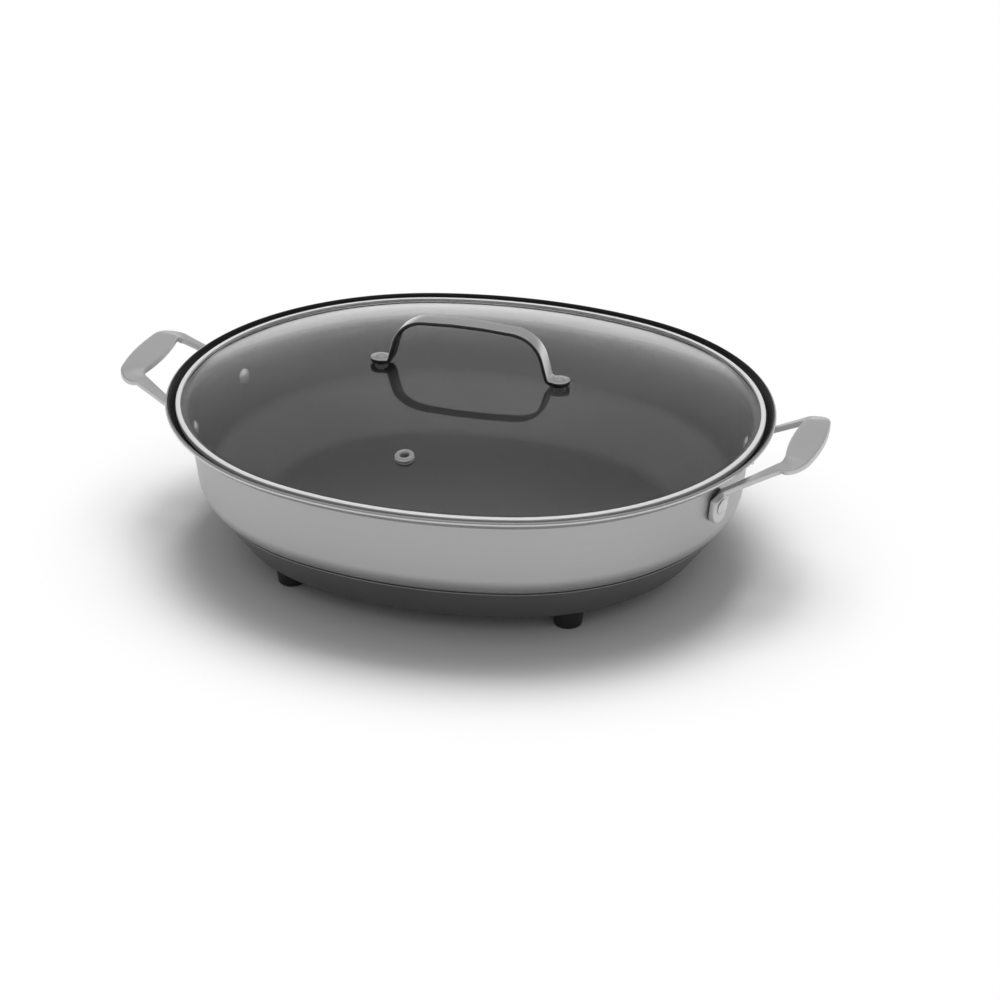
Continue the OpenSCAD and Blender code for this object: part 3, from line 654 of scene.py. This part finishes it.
class SKILLET_OT_pan(bpy.types.Operator):
    """Make the pan: brushed outside, rolled rim and dark lining"""
    bl_idname = "skillet.pan"
    bl_label = "Pan"

    def execute(self, context):
        pan = context.scene.skillet_pan
        start, h0, steps, _, _ = pan_section(pan)
        line = stations(start, h0, steps, radians(5), 0.008)
        half, clear = pan.sheet / 2, pan.bead * 1.02
        inner = [p for p in offset(line, half) if (p - start).length > clear]
        outer = [p for p in offset(line, -half) if (p - start).length > clear]
        bite, parts = asin(half / pan.bead), 20
        first, last = h0 + bite, h0 - bite + tau
        turns = [first + (last - first) * i / parts for i in range(parts + 1)]
        bead = [start + pan.bead * along(a) for a in turns]
        floor_end = 0.115
        floor = towards(inner[-1], floor_end, (1, 0.66, 0.33))
        under = [(p.x, outer[-1].y) for p in reversed(floor)]
        outline = floor + inner[::-1] + bead + outer + under
        wall, lining, rim = range(3)
        covered = 7  # steps of the bead under the lining
        lip = len(floor) + len(inner)
        marks = [lining] * (lip + covered) + [rim] * (len(bead) - covered - 1) \
            + [wall] * (len(outline) - lip - len(bead) + 1)
        bm = bmesh.new()
        sweep(bm, pan, outline, marks)
        finish_piece("pan_shell", bm, ["Brushed wall", "Dark lining", "Bright rim"], "skillet",
                     ["pan"])
        return {"FINISHED"}


class SKILLET_OT_base(bpy.types.Operator):
    """Make the base cap under the pan, with its window for the control"""
    bl_idname = "skillet.base"
    bl_label = "Base"

    def execute(self, context):
        pan = context.scene.skillet_pan
        p, h, steps = base_section(pan)
        line = stations(p, h, steps, radians(6), 0.01)
        out, inn = offset(line, -CAP_SHEET / 2), offset(line, CAP_SHEET / 2)
        edge = [out[0] + (inn[0] - out[0]) * t for t in (0.25, 0.75)]
        cap_end = 0.12
        under = towards(out[-1], cap_end, (1, 0.5))
        over = [(q.x, inn[-1].y) for q in reversed(under)]
        trim = 0.25 * CAP_SHEET * along(h)
        out[0], inn[0] = out[0] + trim, inn[0] + trim
        bm = bmesh.new()
        sweep(bm, pan, under + out[::-1] + edge + inn + over)
        piece = finish_piece("base_cap_shell", bm, ["Base steel"], "skillet",
                             ["base_cap"])
        _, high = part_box("base_cap")
        half_width, front, low, top = 0.0228, 0.12, 0.0152, 0.0242
        carve(piece, box_mesh("window", (-half_width, front, low),
                              (half_width, high[1] + 0.01, top)))
        return {"FINISHED"}


class SKILLET_OT_inlet(bpy.types.Operator):
    """Finish the heat plate, element and the inlet for the plug-in control"""
    bl_idname = "skillet.inlet"
    bl_label = "Inlet"

    def execute(self, context):
        for node, name in (
                ("heat_plate", "Cast plate"), ("heating_element", "Heater sheath"),
                ("terminal_pins", "Polished pins"), ("pin_insulators", "White ceramic"),
                ("probe_sleeve", "Polished pins"), ("inlet_guard", "Brushed wall")):
            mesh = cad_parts[node].data
            mesh.materials.clear()
            mesh.materials.append(finish(name))
        return {"FINISHED"}


def handle_stations(pan, grip):
    """Stations of the right handle: x, y, z, heading, pitch, width, thickness."""
    end_c = oval_frame(pan)[0]
    pad_gap, corner_gap, low_share = 0.15 * MM, 4 * MM, 0.72
    corner_w, growth, drop, bend_r = 10.5 * MM, 3.4 * MM, 3.2 * MM, 6 * MM
    end_w = grip.grip - 2 * grip.bow
    flat, upright = grip.pad_thick, pi / 2 - pan.taper
    rivet_z = pan.rim_top - grip.rivet_drop
    turn = asin(grip.rivet_y / wall_radius(pan, rivet_z))
    grip_in = pan.rim_length / 2 + grip.reach - grip.grip
    grip_z = pan.rim_top + 2.2 * MM
    corner = (grip_in + grip.bow - corner_gap, grip.span)
    arm_end = (corner[0] + sin(grip.splay) * (corner_gap + corner_w / 2),
               corner[1] + cos(grip.splay) * (corner_gap + corner_w / 2))
    arm_z = grip_z - drop

    def pad_at(z):
        r = wall_radius(pan, z) + pad_gap + flat / 2
        return end_c + r * cos(turn), r * sin(turn)

    # Where the line of the pad meets the line of the arm, seen from the front
    line, climb = tan(pan.taper) * cos(turn), tan(grip.rise)
    px = pad_at(rivet_z)[0]
    meet_z = (arm_z + (px - line * rivet_z - arm_end[0]) * climb) / (1 - line * climb)
    meet_x = px + (meet_z - rivet_z) * line
    leg = bend_r * tan((upright - grip.rise) / 2)
    top_z = meet_z - leg * cos(pan.taper)
    end = (meet_x + leg * cos(grip.rise), meet_z + leg * sin(grip.rise))
    top = pad_at(top_z)
    low_z = rivet_z - low_share * grip.pad

    def arm_y(x):
        return -mix(top[1], arm_end[1], (x - top[0]) / (arm_end[0] - top[0]))

    out = []
    for i in range(1, 17):  # round end of the pad
        s = 1 - cos(i / 16 * pi / 2)
        z = low_z + s * grip.pad / 2
        x, y = pad_at(z)
        out.append((x, -y, z, -turn, upright, grip.pad * sqrt(1 - (1 - s) ** 2),
                    flat * min(1, 0.8 + 2 * s)))
    for s in [i / 12 for i in range(13)]:  # bend into the arm
        a = mix(upright, grip.rise, s)
        x = top[0] + bend_r * (cos(pan.taper) - sin(a))
        z = top_z + bend_r * (cos(a) - sin(pan.taper))
        out.append((x, arm_y(x), z, mix(-turn, grip.splay, s), a,
                    mix(grip.pad, grip.arm, ease(s)), mix(flat, grip.arm_thick, s)))
    for s in (0.15, 0.3, 0.45, 0.6, 0.7, 0.8, 0.9):  # arm
        x = mix(end[0], arm_end[0], s)
        out.append((x, arm_y(x), mix(end[1], arm_z, s), grip.splay, grip.rise,
                    mix(grip.arm, corner_w, s ** 1.6), grip.arm_thick))
    for s in [i / 20 for i in range(21)]:  # round the corner of the hand hole
        h = mix(grip.splay, pi / 2, s)
        w = end_w - growth * (1 - s) - (end_w - growth - corner_w) * (1 - s) ** 5
        d = corner_gap + w / 2
        out.append((corner[0] + d * sin(h), -corner[1] - d * cos(h),
                    mix(arm_z, grip_z, ease(s)), h, grip.rise * (1 - s) ** 2, w,
                    mix(grip.arm_thick, grip.thick, s)))
    for s in [i / 10 for i in range(1, 11)]:  # grip to its middle
        inner = grip_in + grip.bow * (1 - s) ** 2
        w = mix(end_w, grip.grip, 1 - (1 - s) ** 2)
        out.append((inner + w / 2, -grip.span * (1 - s), grip_z, pi / 2, 0, w, grip.thick))
    for x, y, z, h, p, w, t in reversed(out[:-1]):  # the other half
        out.append((x, -y, z, pi - h, -p, w, t))
    return out


def handle_ring(q, parts=32, power=0.34):
    """Points round one station of a handle; a smaller power is squarer."""
    x, y, z, h, p, w, t = q
    ring = []
    for j in range(parts):
        a = tau * j / parts
        c, s = cos(a), sin(a)
        u = w / 2 * copysign(abs(c) ** power, c)
        v = t / 2 * copysign(abs(s) ** power, s)
        ring.append((x - u * sin(h) - v * cos(h) * sin(p),
                     y + u * cos(h) - v * sin(h) * sin(p), z + v * cos(p)))
    return ring


class SKILLET_OT_handles(bpy.types.Operator):
    """Make the two cast side handles"""
    bl_idname = "skillet.handles"
    bl_label = "Side handles"

    def execute(self, context):
        scene = context.scene
        rings = [handle_ring(q) for q in handle_stations(scene.skillet_pan, scene.skillet_handles)]
        for side, name in ((1, "right"), (-1, "left")):
            bm = bmesh.new()
            skin(bm, [[(side * x, side * y, z) for x, y, z in ring] for ring in rings])
            finish_piece(name + "_handle_casting", bm, ["Satin casting"], "skillet",
                         [name + "_handle"], radians(50))
        return {"FINISHED"}


def dome_points(radius, height, parts=6, z=0.0):
    """Outline of a low dome from its rim to its top."""
    ball = (radius ** 2 + height ** 2) / (2 * height)
    a = asin(min(1, radius / ball))
    turns = [a * (1 - i / parts) for i in range(parts + 1)]
    return [(ball * sin(b), z + height - ball + ball * cos(b)) for b in turns]


class SKILLET_OT_rivets(bpy.types.Operator):
    """Rivet the side handles to the wall, with heads inside and outside"""
    bl_idname = "skillet.rivets"
    bl_label = "Handle rivets"

    def execute(self, context):
        scene = context.scene
        r, head = 3 * MM, 5.4 * MM
        out, inn = 5.3 * MM, -scene.skillet_pan.sheet - 0.25 * MM
        outer = [(head * 0.96, out), (head, out + 0.2 * MM)] \
            + dome_points(head * 0.98, 0.9 * MM, 6, out + 0.35 * MM)
        inner = [(q, inn - z) for q, z in [(head, 0.0), (head, 0.25 * MM)]
                 + dome_points(head * 0.98, 2.0 * MM, 6, 0.3 * MM)]
        outline = inner[::-1] + [(r, inn), (r, out)] + outer
        for side, name in ((1, "right"), (-1, "left")):
            mesh = turned_mesh(name + "_rivet", outline, "Bright rim", parts=32)
            places = rivet_places(scene.skillet_pan, scene.skillet_handles, side)
            scatter(name + "_rivet_pair", mesh, places, "skillet", [name + "_handle_rivets"])
        return {"FINISHED"}


SCREW_HEAD = 3.8 * MM


def cross_screw(name, grip):
    """A domed screw head with a cross recess, head towards +Z, shank down."""
    radius, height, shank = SCREW_HEAD, 2.2 * MM, 2 * MM
    outline = [(0, -grip), (shank * 0.8, -grip), (shank, -grip + 0.4 * MM), (shank, 0),
               (radius, 0)] + dome_points(radius, height * 0.92, 6, height * 0.08)
    screw = new_object(name, turned_mesh(name, outline, "Polished pins", 32))
    arm, wide, deep = radius * 0.55, radius * 0.11, height * 0.55
    for x, y in ((arm, wide), (wide, arm)):
        carve(screw, box_mesh("slot", (-x, -y, height - deep), (x, y, height * 1.2)))
    done = screw.data
    bpy.data.objects.remove(screw)
    return done


def box_middle(node):
    low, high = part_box(node)
    return [(low[i] + high[i]) / 2 for i in range(3)]


class SKILLET_OT_feet(bpy.types.Operator):
    """Make the feet with their screws, and the screws of the inlet guard"""
    bl_idname = "skillet.feet"
    bl_label = "Feet and screws"

    def execute(self, context):
        pan = context.scene.skillet_pan
        low, top, r, h = 9 * MM, 10.6 * MM, 1.6 * MM, pan.base_low
        recess, boss, bore = 5.2 * MM, 8 * MM, 2.15 * MM
        edge = [(low - r + r * sin(a), r - r * cos(a)) for a in
                [radians(d) for d in (0, 18, 36, 54, 72, 88)]]
        outline = [(bore, h), (bore, boss), (recess - 0.4 * MM, boss), (recess, boss - 0.4 * MM),
                   (recess, 0.5 * MM), (recess + 0.5 * MM, 0.0)] + edge \
            + [(top - 0.15 * MM, h - 0.5 * MM), (top - 0.5 * MM, h), (bore, h)]
        for n in ("front_left", "front_right", "back_left", "back_right"):
            x, y, _ = box_middle("foot_" + n)
            mesh = turned_mesh("foot", outline, "Black plastic", parts=48)
            scatter("foot_block_" + n, mesh, [((x, y, 0), (0, 0, 1))], "skillet",
                    ["foot_" + n])

        down = (0, 0, -1)
        x, y, _ = [abs(v) for v in box_middle("foot_front_right")]
        at_feet = [((s * x, t * y, boss), down) for s in (-1, 1) for t in (-1, 1)]
        scatter("foot_screw_set", cross_screw("foot_screw", 9 * MM), at_feet, "skillet",
                ["foot_screws"], spin=1.5)
        lo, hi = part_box("guard_screws")
        x, y, z = (hi[0] - lo[0]) / 2 - SCREW_HEAD, (lo[1] + hi[1]) / 2, pan.base_low - 1.2 * MM
        at_guard = [((-x, y, z), down), ((x, y, z), down)]
        scatter("guard_screw_pair", cross_screw("guard_screw", 8 * MM), at_guard, "skillet",
                ["guard_screws"], spin=1.5)
        return {"FINISHED"}


# Lid

BAND_INSET, BAND_WALL, BAND_CLEAR, BAND_WIDTH = 6.8 * MM, 0.5 * MM, 0.05 * MM, 3.2 * MM
TAB = 7 * MM


def lid_levels(pan, lid):
    """Underside of the band, inset and height of the glass edge, steps of the glass,
    height and inset of the dome's top, and radius of the dome."""
    start, h0, steps, _, _ = pan_section(pan)
    seat, _ = walk(start, h0, steps[:2])
    under = seat.y + pan.sheet / 2 / cos(SEAT_FALL) \
        - (BAND_INSET - seat.x) * tan(SEAT_FALL) + 0.3 * MM
    edge_z = under + BAND_WALL + BAND_CLEAR + lid.glass / 2
    edge = BAND_INSET + BAND_WALL + BAND_CLEAR
    flat, fillet = 3.2 * MM, 10 * MM
    centre = pan.rim_length / 2 - lid.rivet_x - TAB - 1 * MM
    reach = centre - edge - flat
    slope = 2 * atan(lid.rise / reach)
    radius = reach / sin(slope) - fillet
    steps = [(flat, 0), (fillet, slope), (radius, -slope), (4 * MM, 0)]
    return under, edge, edge_z, steps, edge_z + lid.rise + lid.glass / 2, centre, radius


class SKILLET_OT_lid(bpy.types.Operator):
    """Make the domed glass with its steel band and the steam vent"""
    bl_idname = "skillet.lid"
    bl_label = "Lid"

    def execute(self, context):
        scene = context.scene
        pan, lid = scene.skillet_pan, scene.skillet_lid
        under, edge, edge_z, steps, top, centre, radius = lid_levels(pan, lid)
        glass = self.make_glass(pan, lid, (edge, edge_z), steps, top, centre)
        self.make_vent(pan, lid, glass, top, centre, radius)

        t, cover = BAND_WALL, BAND_WALL + BAND_CLEAR
        x0, z0, z1 = edge - cover, under, edge_z + lid.glass / 2 + cover
        x1 = x0 + BAND_WIDTH
        outside = rounded([(x1, z1), (x0, z1), (x0, z0), (x1, z0)], 1.1 * MM, 5)[6:18]
        inside = [(x1, z0 + t), (x0 + t, z0 + t), (x0 + t, z1 - t), (x1, z1 - t)]
        bm = bmesh.new()
        sweep(bm, pan, [(x1, z1)] + outside + [(x1, z0)] + inside, closed=True)
        finish_piece("lid_rim_band", bm, ["Band steel"], "lid", ["lid_band"])
        return {"FINISHED"}

    def make_glass(self, pan, lid, edge_at, steps, top, centre):
        """The pane, with a rounded edge and a level middle."""
        edge, edge_z = edge_at
        line = stations(Vector(edge_at), 0.0, steps, radians(1.2), 0.01)
        half, middle = lid.glass / 2, 0.1685  # an inset short of half the rim's depth
        r = half * 0.95
        nose = [(edge + r - r * sin(a), edge_z + r * cos(a)) for a in
                [radians(d) for d in (12, 35, 60, 90, 120, 145, 168)]]
        up, down = [[(edge + r, edge_z + side)]
                    + [p for p in offset(line, side) if p.x > edge + r] for side in (half, -half)]
        inner = [centre + (middle - centre) * t for t in (0.35, 0.68)]
        outline = [(x, top) for x in reversed(inner)] + up[::-1] + nose + down \
            + [(x, top - lid.glass) for x in inner]
        bm = bmesh.new()
        sweep(bm, pan, outline)
        return finish_piece("lid_dome_glass", bm, ["Lid glass"], "lid", ["lid_glass"])

    def make_vent(self, pan, lid, glass, top, centre, radius):
        """The hole in the glass, square to the dome, and the eyelet in it."""
        _, side_c, _, r_side = oval_frame(pan)
        at = Vector((-lid.vent_x, -lid.vent_y, 0))
        d = hypot(at.x, abs(at.y) + side_c)
        across = centre - (r_side - d)
        outer = radius + lid.glass / 2
        at.z = top - outer + sqrt(outer ** 2 - across ** 2)
        tilt = asin(across / outer)
        away = Vector((at.x / d, (at.y - side_c) / d, 0))
        upright = Vector((0, 0, 1))
        axis = (away * sin(tilt) + upright * cos(tilt)).normalized()
        bore, wall, wide = 2.8 * MM, 0.5 * MM, 6.2 * MM
        hole = bore + wall + 0.1 * MM
        turn = upright.rotation_difference(axis).to_matrix().to_4x4()
        bm = bmesh.new()
        bmesh.ops.create_cone(bm, cap_ends=True, segments=32, radius1=hole, radius2=hole,
                              depth=0.02, matrix=Matrix.Translation(at) @ turn)
        carve(glass, mesh_from(bm, "vent_hole"))

        c, r = (bore + wide) / 2, (wide - bore) / 2
        lip = [(c + r * cos(a), r * 0.9 * sin(a)) for a in
               [radians(x) for x in (0, 20, 40, 60, 80, 100, 120, 140, 160, 180)]]
        base = -lid.glass - wall
        outline = lip + [(bore, base), (bore + 0.1 * MM, base - wall),
                         (wide - 0.2 * MM, base - wall), (wide, base - wall * 0.6),
                         (wide - 0.1 * MM, base), (bore + wall, base), (bore + wall, 0.0), lip[0]]
        scatter("vent_ring", turned_mesh("eyelet", outline, "Bright rim"), [(at, axis)],
                "lid", ["vent_eyelet"])


class SKILLET_OT_strap(bpy.types.Operator):
    """Make the lid's strap handle with its washers, rivets and nuts"""
    bl_idname = "skillet.strap"
    bl_label = "Lid handle"

    def execute(self, context):
        pan, lid = context.scene.skillet_pan, context.scene.skillet_lid
        *_, top, _, _ = lid_levels(pan, lid)
        washer = 0.8 * MM
        self.make_strap(lid, top + washer, washer)

        places = [(Vector((s * lid.rivet_x, 0, top)), Vector((0, 0, 1))) for s in (-1, 1)]
        hole, wide, soft = 2.55 * MM, TAB - washer, 0.15 * MM
        outline = [(hole, 0), (wide - soft, 0), (wide, 0.2 * MM), (wide, washer - 0.2 * MM),
                   (wide - soft, washer), (hole, washer), (hole, 0)]
        scatter("lid_washer_pair", turned_mesh("washer", outline, "Black plastic", parts=48),
                places, "lid", ["lid_washers"])
        shank, head, deep = 2.4 * MM, 4.4 * MM, 2.1 * MM
        z1, z0 = washer + lid.strap_thick, -lid.glass - 1.6 * MM
        outline = [(0, z0), (shank, z0), (shank, z1), (head - 0.1 * MM, z1),
                   (head, z1 + 0.15 * MM)] \
            + dome_points(head * 0.98, deep - 0.2 * MM, 7, z1 + 0.2 * MM)
        scatter("lid_rivet_pair", turned_mesh("rivet", outline, "Bright rim"), places,
                "lid", ["lid_rivets"])
        nut, z0, tall = 4.6 * MM, -lid.glass, 3.2 * MM
        outline = [(hole, z0), (nut * 0.93, z0), (nut, z0 - 0.3 * MM),
                   (nut, z0 - tall + 0.4 * MM), (nut * 0.86, z0 - tall)] \
            + [(a, z0 - tall - b) for a, b in dome_points(nut * 0.8, 1.5 * MM)]
        scatter("lid_nut_pair", turned_mesh("nut", outline, "Bright rim", parts=6), places,
                "lid", ["lid_nuts"], spin=0.5)
        return {"FINISHED"}

    def make_strap(self, lid, foot_z, washer):
        """The bent strap with its round tabs; faces that look down or sideways get a near-black
        copy of the steel, painted shade and painted reflection of the dark pan below.
        """
        thick, crown, leg = lid.strap_thick, radians(5), radians(75)
        bend, run, shoulder = 3 * MM, 4.6 * MM, 22 * MM
        span = lid.rivet_x - run - bend * sin(leg) \
            - shoulder * (sin(leg) - sin(crown))
        rise = lid.arch - washer - thick - bend * (1 - cos(leg)) \
            - shoulder * (cos(crown) - cos(leg))
        slant = tan(crown / 2)
        up = (rise - span * slant) / (sin(leg) - cos(leg) * slant)
        arc = (span - up * cos(leg)) / sin(crown)
        tab_step = (TAB + run, 0)
        steps = [tab_step, (bend, leg), (up, 0), (shoulder, crown - leg), (arc, -2 * crown),
                 (shoulder, crown - leg), (up, 0), (bend, leg), tab_step]
        start = Vector((-lid.rivet_x - TAB, foot_z + thick / 2))
        fine, neck, edge_r = 0.6 * MM, 3.7 * MM, 0.55 * MM
        first, _ = walk(start, 0.0, steps[:1])
        line = stations(start, 0.0, steps[:1], run=fine)
        line += stations(first, 0.0, steps[1:-1], radians(4), 0.006)[1:]
        line += stations(*walk(start, 0.0, steps[:-1]), steps[-1:], run=fine)[1:]
        rings = []
        for p, h in line:
            d = lid.rivet_x + TAB - abs(p.x)
            w = lid.strap
            if d < TAB + neck:
                disc = 2 * sqrt(max(TAB ** 2 - (abs(p.x) - lid.rivet_x) ** 2, 1e-9))
                w = max(lid.strap if d > TAB else 0, disc)
            w = max(w, fine)
            x, y = w / 2, thick / 2
            corners = [(-x, -y), (x, -y), (x, y), (-x, y)]
            ring = []
            for q in rounded(corners, min(edge_r, w * 0.3), 3):
                c = p + q.y * normal_at(h)
                ring.append((c.x, q.x, c.y))
            rings.append(ring)
        bm = bmesh.new()
        skin(bm, rings)
        bmesh.ops.recalc_face_normals(bm, faces=bm.faces)
        bm.faces.ensure_lookup_table()
        # Faces that look down or sideways take material 1, painted shade and painted reflection of
        # the dark pan below
        count, upward = len(rings[0]), 0.35
        for i, (_, h) in enumerate(line[:-1]):
            out = normal_at(h)
            for f in bm.faces[i * count:(i + 1) * count]:
                facing = f.normal.x * out.x + f.normal.z * out.y
                f.material_index = 0 if facing > upward else 1
        finish_piece("lid_strap", bm, ["Strap steel", "Dark steel"], "lid",
                     ["lid_handle"], radians(40))


# Stage

CAMERA = dict(azimuth=17.876, elevation=25.756, distance=2.2251, focal=3368.9,
              centre=(469.68, 462.62), target=(0, 0, 0.06))
PICTURE, SENSOR = 1000.0, 36.0
WHITE = (1, 1, 1, 1)
SEEN_RAYS = ("Is Camera Ray", "Is Glossy Ray", "Is Transmission Ray")


def rays_seen(t):
    """1 for rays that show a surface directly, mirrored or through glass, else 0."""
    path = t.add("ShaderNodeLightPath")
    seen = path.outputs[SEEN_RAYS[0]]
    for kind in SEEN_RAYS[1:]:
        seen = t.maths("MAXIMUM", seen, path.outputs[kind])
    return seen


def floor_material(name, shade, clear_at, white_at):
    """Pale diffuse floor that turns to plain white away from the skillet's shadow."""
    material, t, out = new_material(name)
    plain = t.add("ShaderNodeBsdfDiffuse", {"Color": (shade, shade, shade, 1)})
    light = t.add("ShaderNodeEmission", {"Color": WHITE, "Strength": 1.0})
    place = t.add("ShaderNodeTexCoord")
    squash = t.add("ShaderNodeMapping",
                   {"Vector": place.outputs["Object"], "Scale": (0.86, 1.0, 1.0)})
    away = t.add("ShaderNodeVectorMath", operation="LENGTH", inputs={0: squash})
    ramp = t.add("ShaderNodeMapRange", interpolation_type="SMOOTHSTEP",
                 inputs={"Value": away.outputs["Value"], "From Min": clear_at,
                         "From Max": white_at})
    share = t.maths("MULTIPLY", ramp, rays_seen(t))
    both = t.add("ShaderNodeMixShader", {0: share, 1: plain, 2: light})
    t.link(both, out.inputs["Surface"])
    return material


def ceiling_material(name):
    """Dim ceiling, a little brighter at its top and nearly white at its foot."""
    material, t, out = new_material(name)
    place = t.add("ShaderNodeTexCoord")
    way = t.add("ShaderNodeVectorMath", operation="NORMALIZE", inputs={0: place.outputs["Object"]})
    height = t.add("ShaderNodeSeparateXYZ", {0: way})
    tone = t.add("ShaderNodeValToRGB", {0: height.outputs["Z"]})
    stops = tone.color_ramp.elements
    levels = ((0.1, 0.9), (0.2, 0.3), (0.32, 0.09), (0.5, 0.05), (0.75, 0.07), (0.9, 0.16),
              (1.0, 0.2))  # height and brightness
    for i, (at, _) in enumerate(levels):
        stop = stops[i] if i < 2 else stops.new(at)
        stop.position = at
    for stop, (_, level) in zip(sorted(stops, key=lambda e: e.position), levels):
        stop.color = (level, level, level, 1)
    light = t.add("ShaderNodeEmission", {"Color": tone, "Strength": 1.0})
    t.link(light, out.inputs["Surface"])
    return material


def area_light(name, size, power, place):
    """A soft lamp aimed at the skillet, which mirrors and glass don't show."""
    lamp = bpy.data.lights.new(name, "AREA")
    lamp.shape, lamp.size, lamp.size_y, lamp.energy = "RECTANGLE", size[0], size[1], power
    holder = new_object(name, lamp)
    holder.location = place
    aim = Vector((0, 0, 0.05)) - Vector(place)
    holder.rotation_euler = aim.to_track_quat("-Z", "Y").to_euler()
    holder.visible_glossy = holder.visible_transmission = False


class SKILLET_OT_stage(bpy.types.Operator):
    """Set the floor, the soft light, the white surround and the camera"""
    bl_idname = "skillet.stage"
    bl_label = "Stage"

    def execute(self, context):
        scene = context.scene
        floor_half, under_feet, surround = 8.0, 0.0002, 0.32
        bm = bmesh.new()
        bmesh.ops.create_grid(bm, x_segments=2, y_segments=2, size=floor_half)
        floor = new_object("floor", mesh_from(bm, "floor", ["Pale floor"]))
        floor.location.z = -under_feet

        radius, low, parts = 4.0, radians(6), 24
        turns = [mix(low, pi / 2, i / parts) for i in range(parts)]
        outline = [(radius * cos(a), radius * sin(a)) for a in turns] + [(0, radius)]
        dome = turned_mesh("ceiling", outline, "Studio ceiling", parts=64)
        ceiling = new_object("ceiling", dome)
        ceiling.visible_camera = ceiling.visible_diffuse = ceiling.visible_shadow = False
        ceiling.visible_transmission = ceiling.visible_volume_scatter = False

        world = bpy.data.worlds.new("Soft surround")
        world.use_nodes = True
        t = Tree(world.node_tree)
        t.tree.nodes.clear()
        out = t.add("ShaderNodeOutputWorld")
        soft = t.add("ShaderNodeBackground", {"Color": WHITE, "Strength": surround})
        white = t.add("ShaderNodeBackground", {"Color": WHITE, "Strength": 1.0})
        both = t.add("ShaderNodeMixShader", {0: rays_seen(t), 1: soft, 2: white})
        t.link(both, out.inputs["Surface"])
        scene.world = world
        area_light("Top light", (1.1, 1.1), 27.0, (0.0, 0.3, 1.9))
        area_light("Front light", (1.4, 1.0), 2.5, (0.9, -1.6, 1.3))

        az, el = radians(CAMERA["azimuth"]), radians(CAMERA["elevation"])
        back = Vector((sin(az) * cos(el), -cos(az) * cos(el), sin(el)))
        data = bpy.data.cameras.new("Camera")
        data.sensor_width = SENSOR
        data.lens = CAMERA["focal"] * SENSOR / PICTURE
        data.shift_x = (PICTURE / 2 - CAMERA["centre"][0]) / PICTURE
        data.shift_y = (CAMERA["centre"][1] - PICTURE / 2) / PICTURE
        data.clip_start, data.clip_end = 0.05, 50.0
        camera = new_object("Camera", data)
        camera.location = Vector(CAMERA["target"]) + back * CAMERA["distance"]
        camera.rotation_mode = "QUATERNION"
        camera.rotation_quaternion = (-back).to_track_quat("-Z", "Y")
        scene.camera = camera
        scene.view_settings.view_transform = "Standard"
        return {"FINISHED"}


OPERATORS = (SKILLET_OT_pan, SKILLET_OT_base, SKILLET_OT_inlet, SKILLET_OT_handles,
             SKILLET_OT_rivets, SKILLET_OT_feet, SKILLET_OT_lid, SKILLET_OT_strap,
             SKILLET_OT_stage)

GROUPS = (("skillet_pan", SkilletPanSizes), ("skillet_handles", SkilletHandleSizes),
          ("skillet_lid", SkilletLidSizes), ("skillet_finishes", SkilletFinishes))


class SKILLET_PT_panel(bpy.types.Panel):
    """Lists the skillet's pieces in the sidebar"""
    bl_idname = "SKILLET_PT_panel"
    bl_label = "Oval skillet"
    bl_space_type = "VIEW_3D"
    bl_region_type = "UI"
    bl_category = "Skillet"

    def draw(self, context):
        for group, _ in GROUPS:
            box = self.layout.box()
            owner = getattr(context.scene, group)
            for name in owner.__annotations__:
                box.prop(owner, name)
        for op in OPERATORS:
            self.layout.operator(op.bl_idname)


def register():
    for name, group in GROUPS:
        bpy.utils.register_class(group)
        setattr(bpy.types.Scene, name, bpy.props.PointerProperty(type=group))
    for cls in OPERATORS + (SKILLET_PT_panel,):
        bpy.utils.register_class(cls)


def unregister():
    for cls in reversed(OPERATORS + (SKILLET_PT_panel,)):
        bpy.utils.unregister_class(cls)
    for name, group in reversed(GROUPS):
        delattr(bpy.types.Scene, name)
        bpy.utils.unregister_class(group)


def main():
    register()
    make = bpy.ops.skillet
    for op in (make.pan, make.base, make.inlet, make.handles, make.rivets, make.feet, make.lid,
               make.strap, make.stage):
        op()


if __name__ == "__main__":
    main()
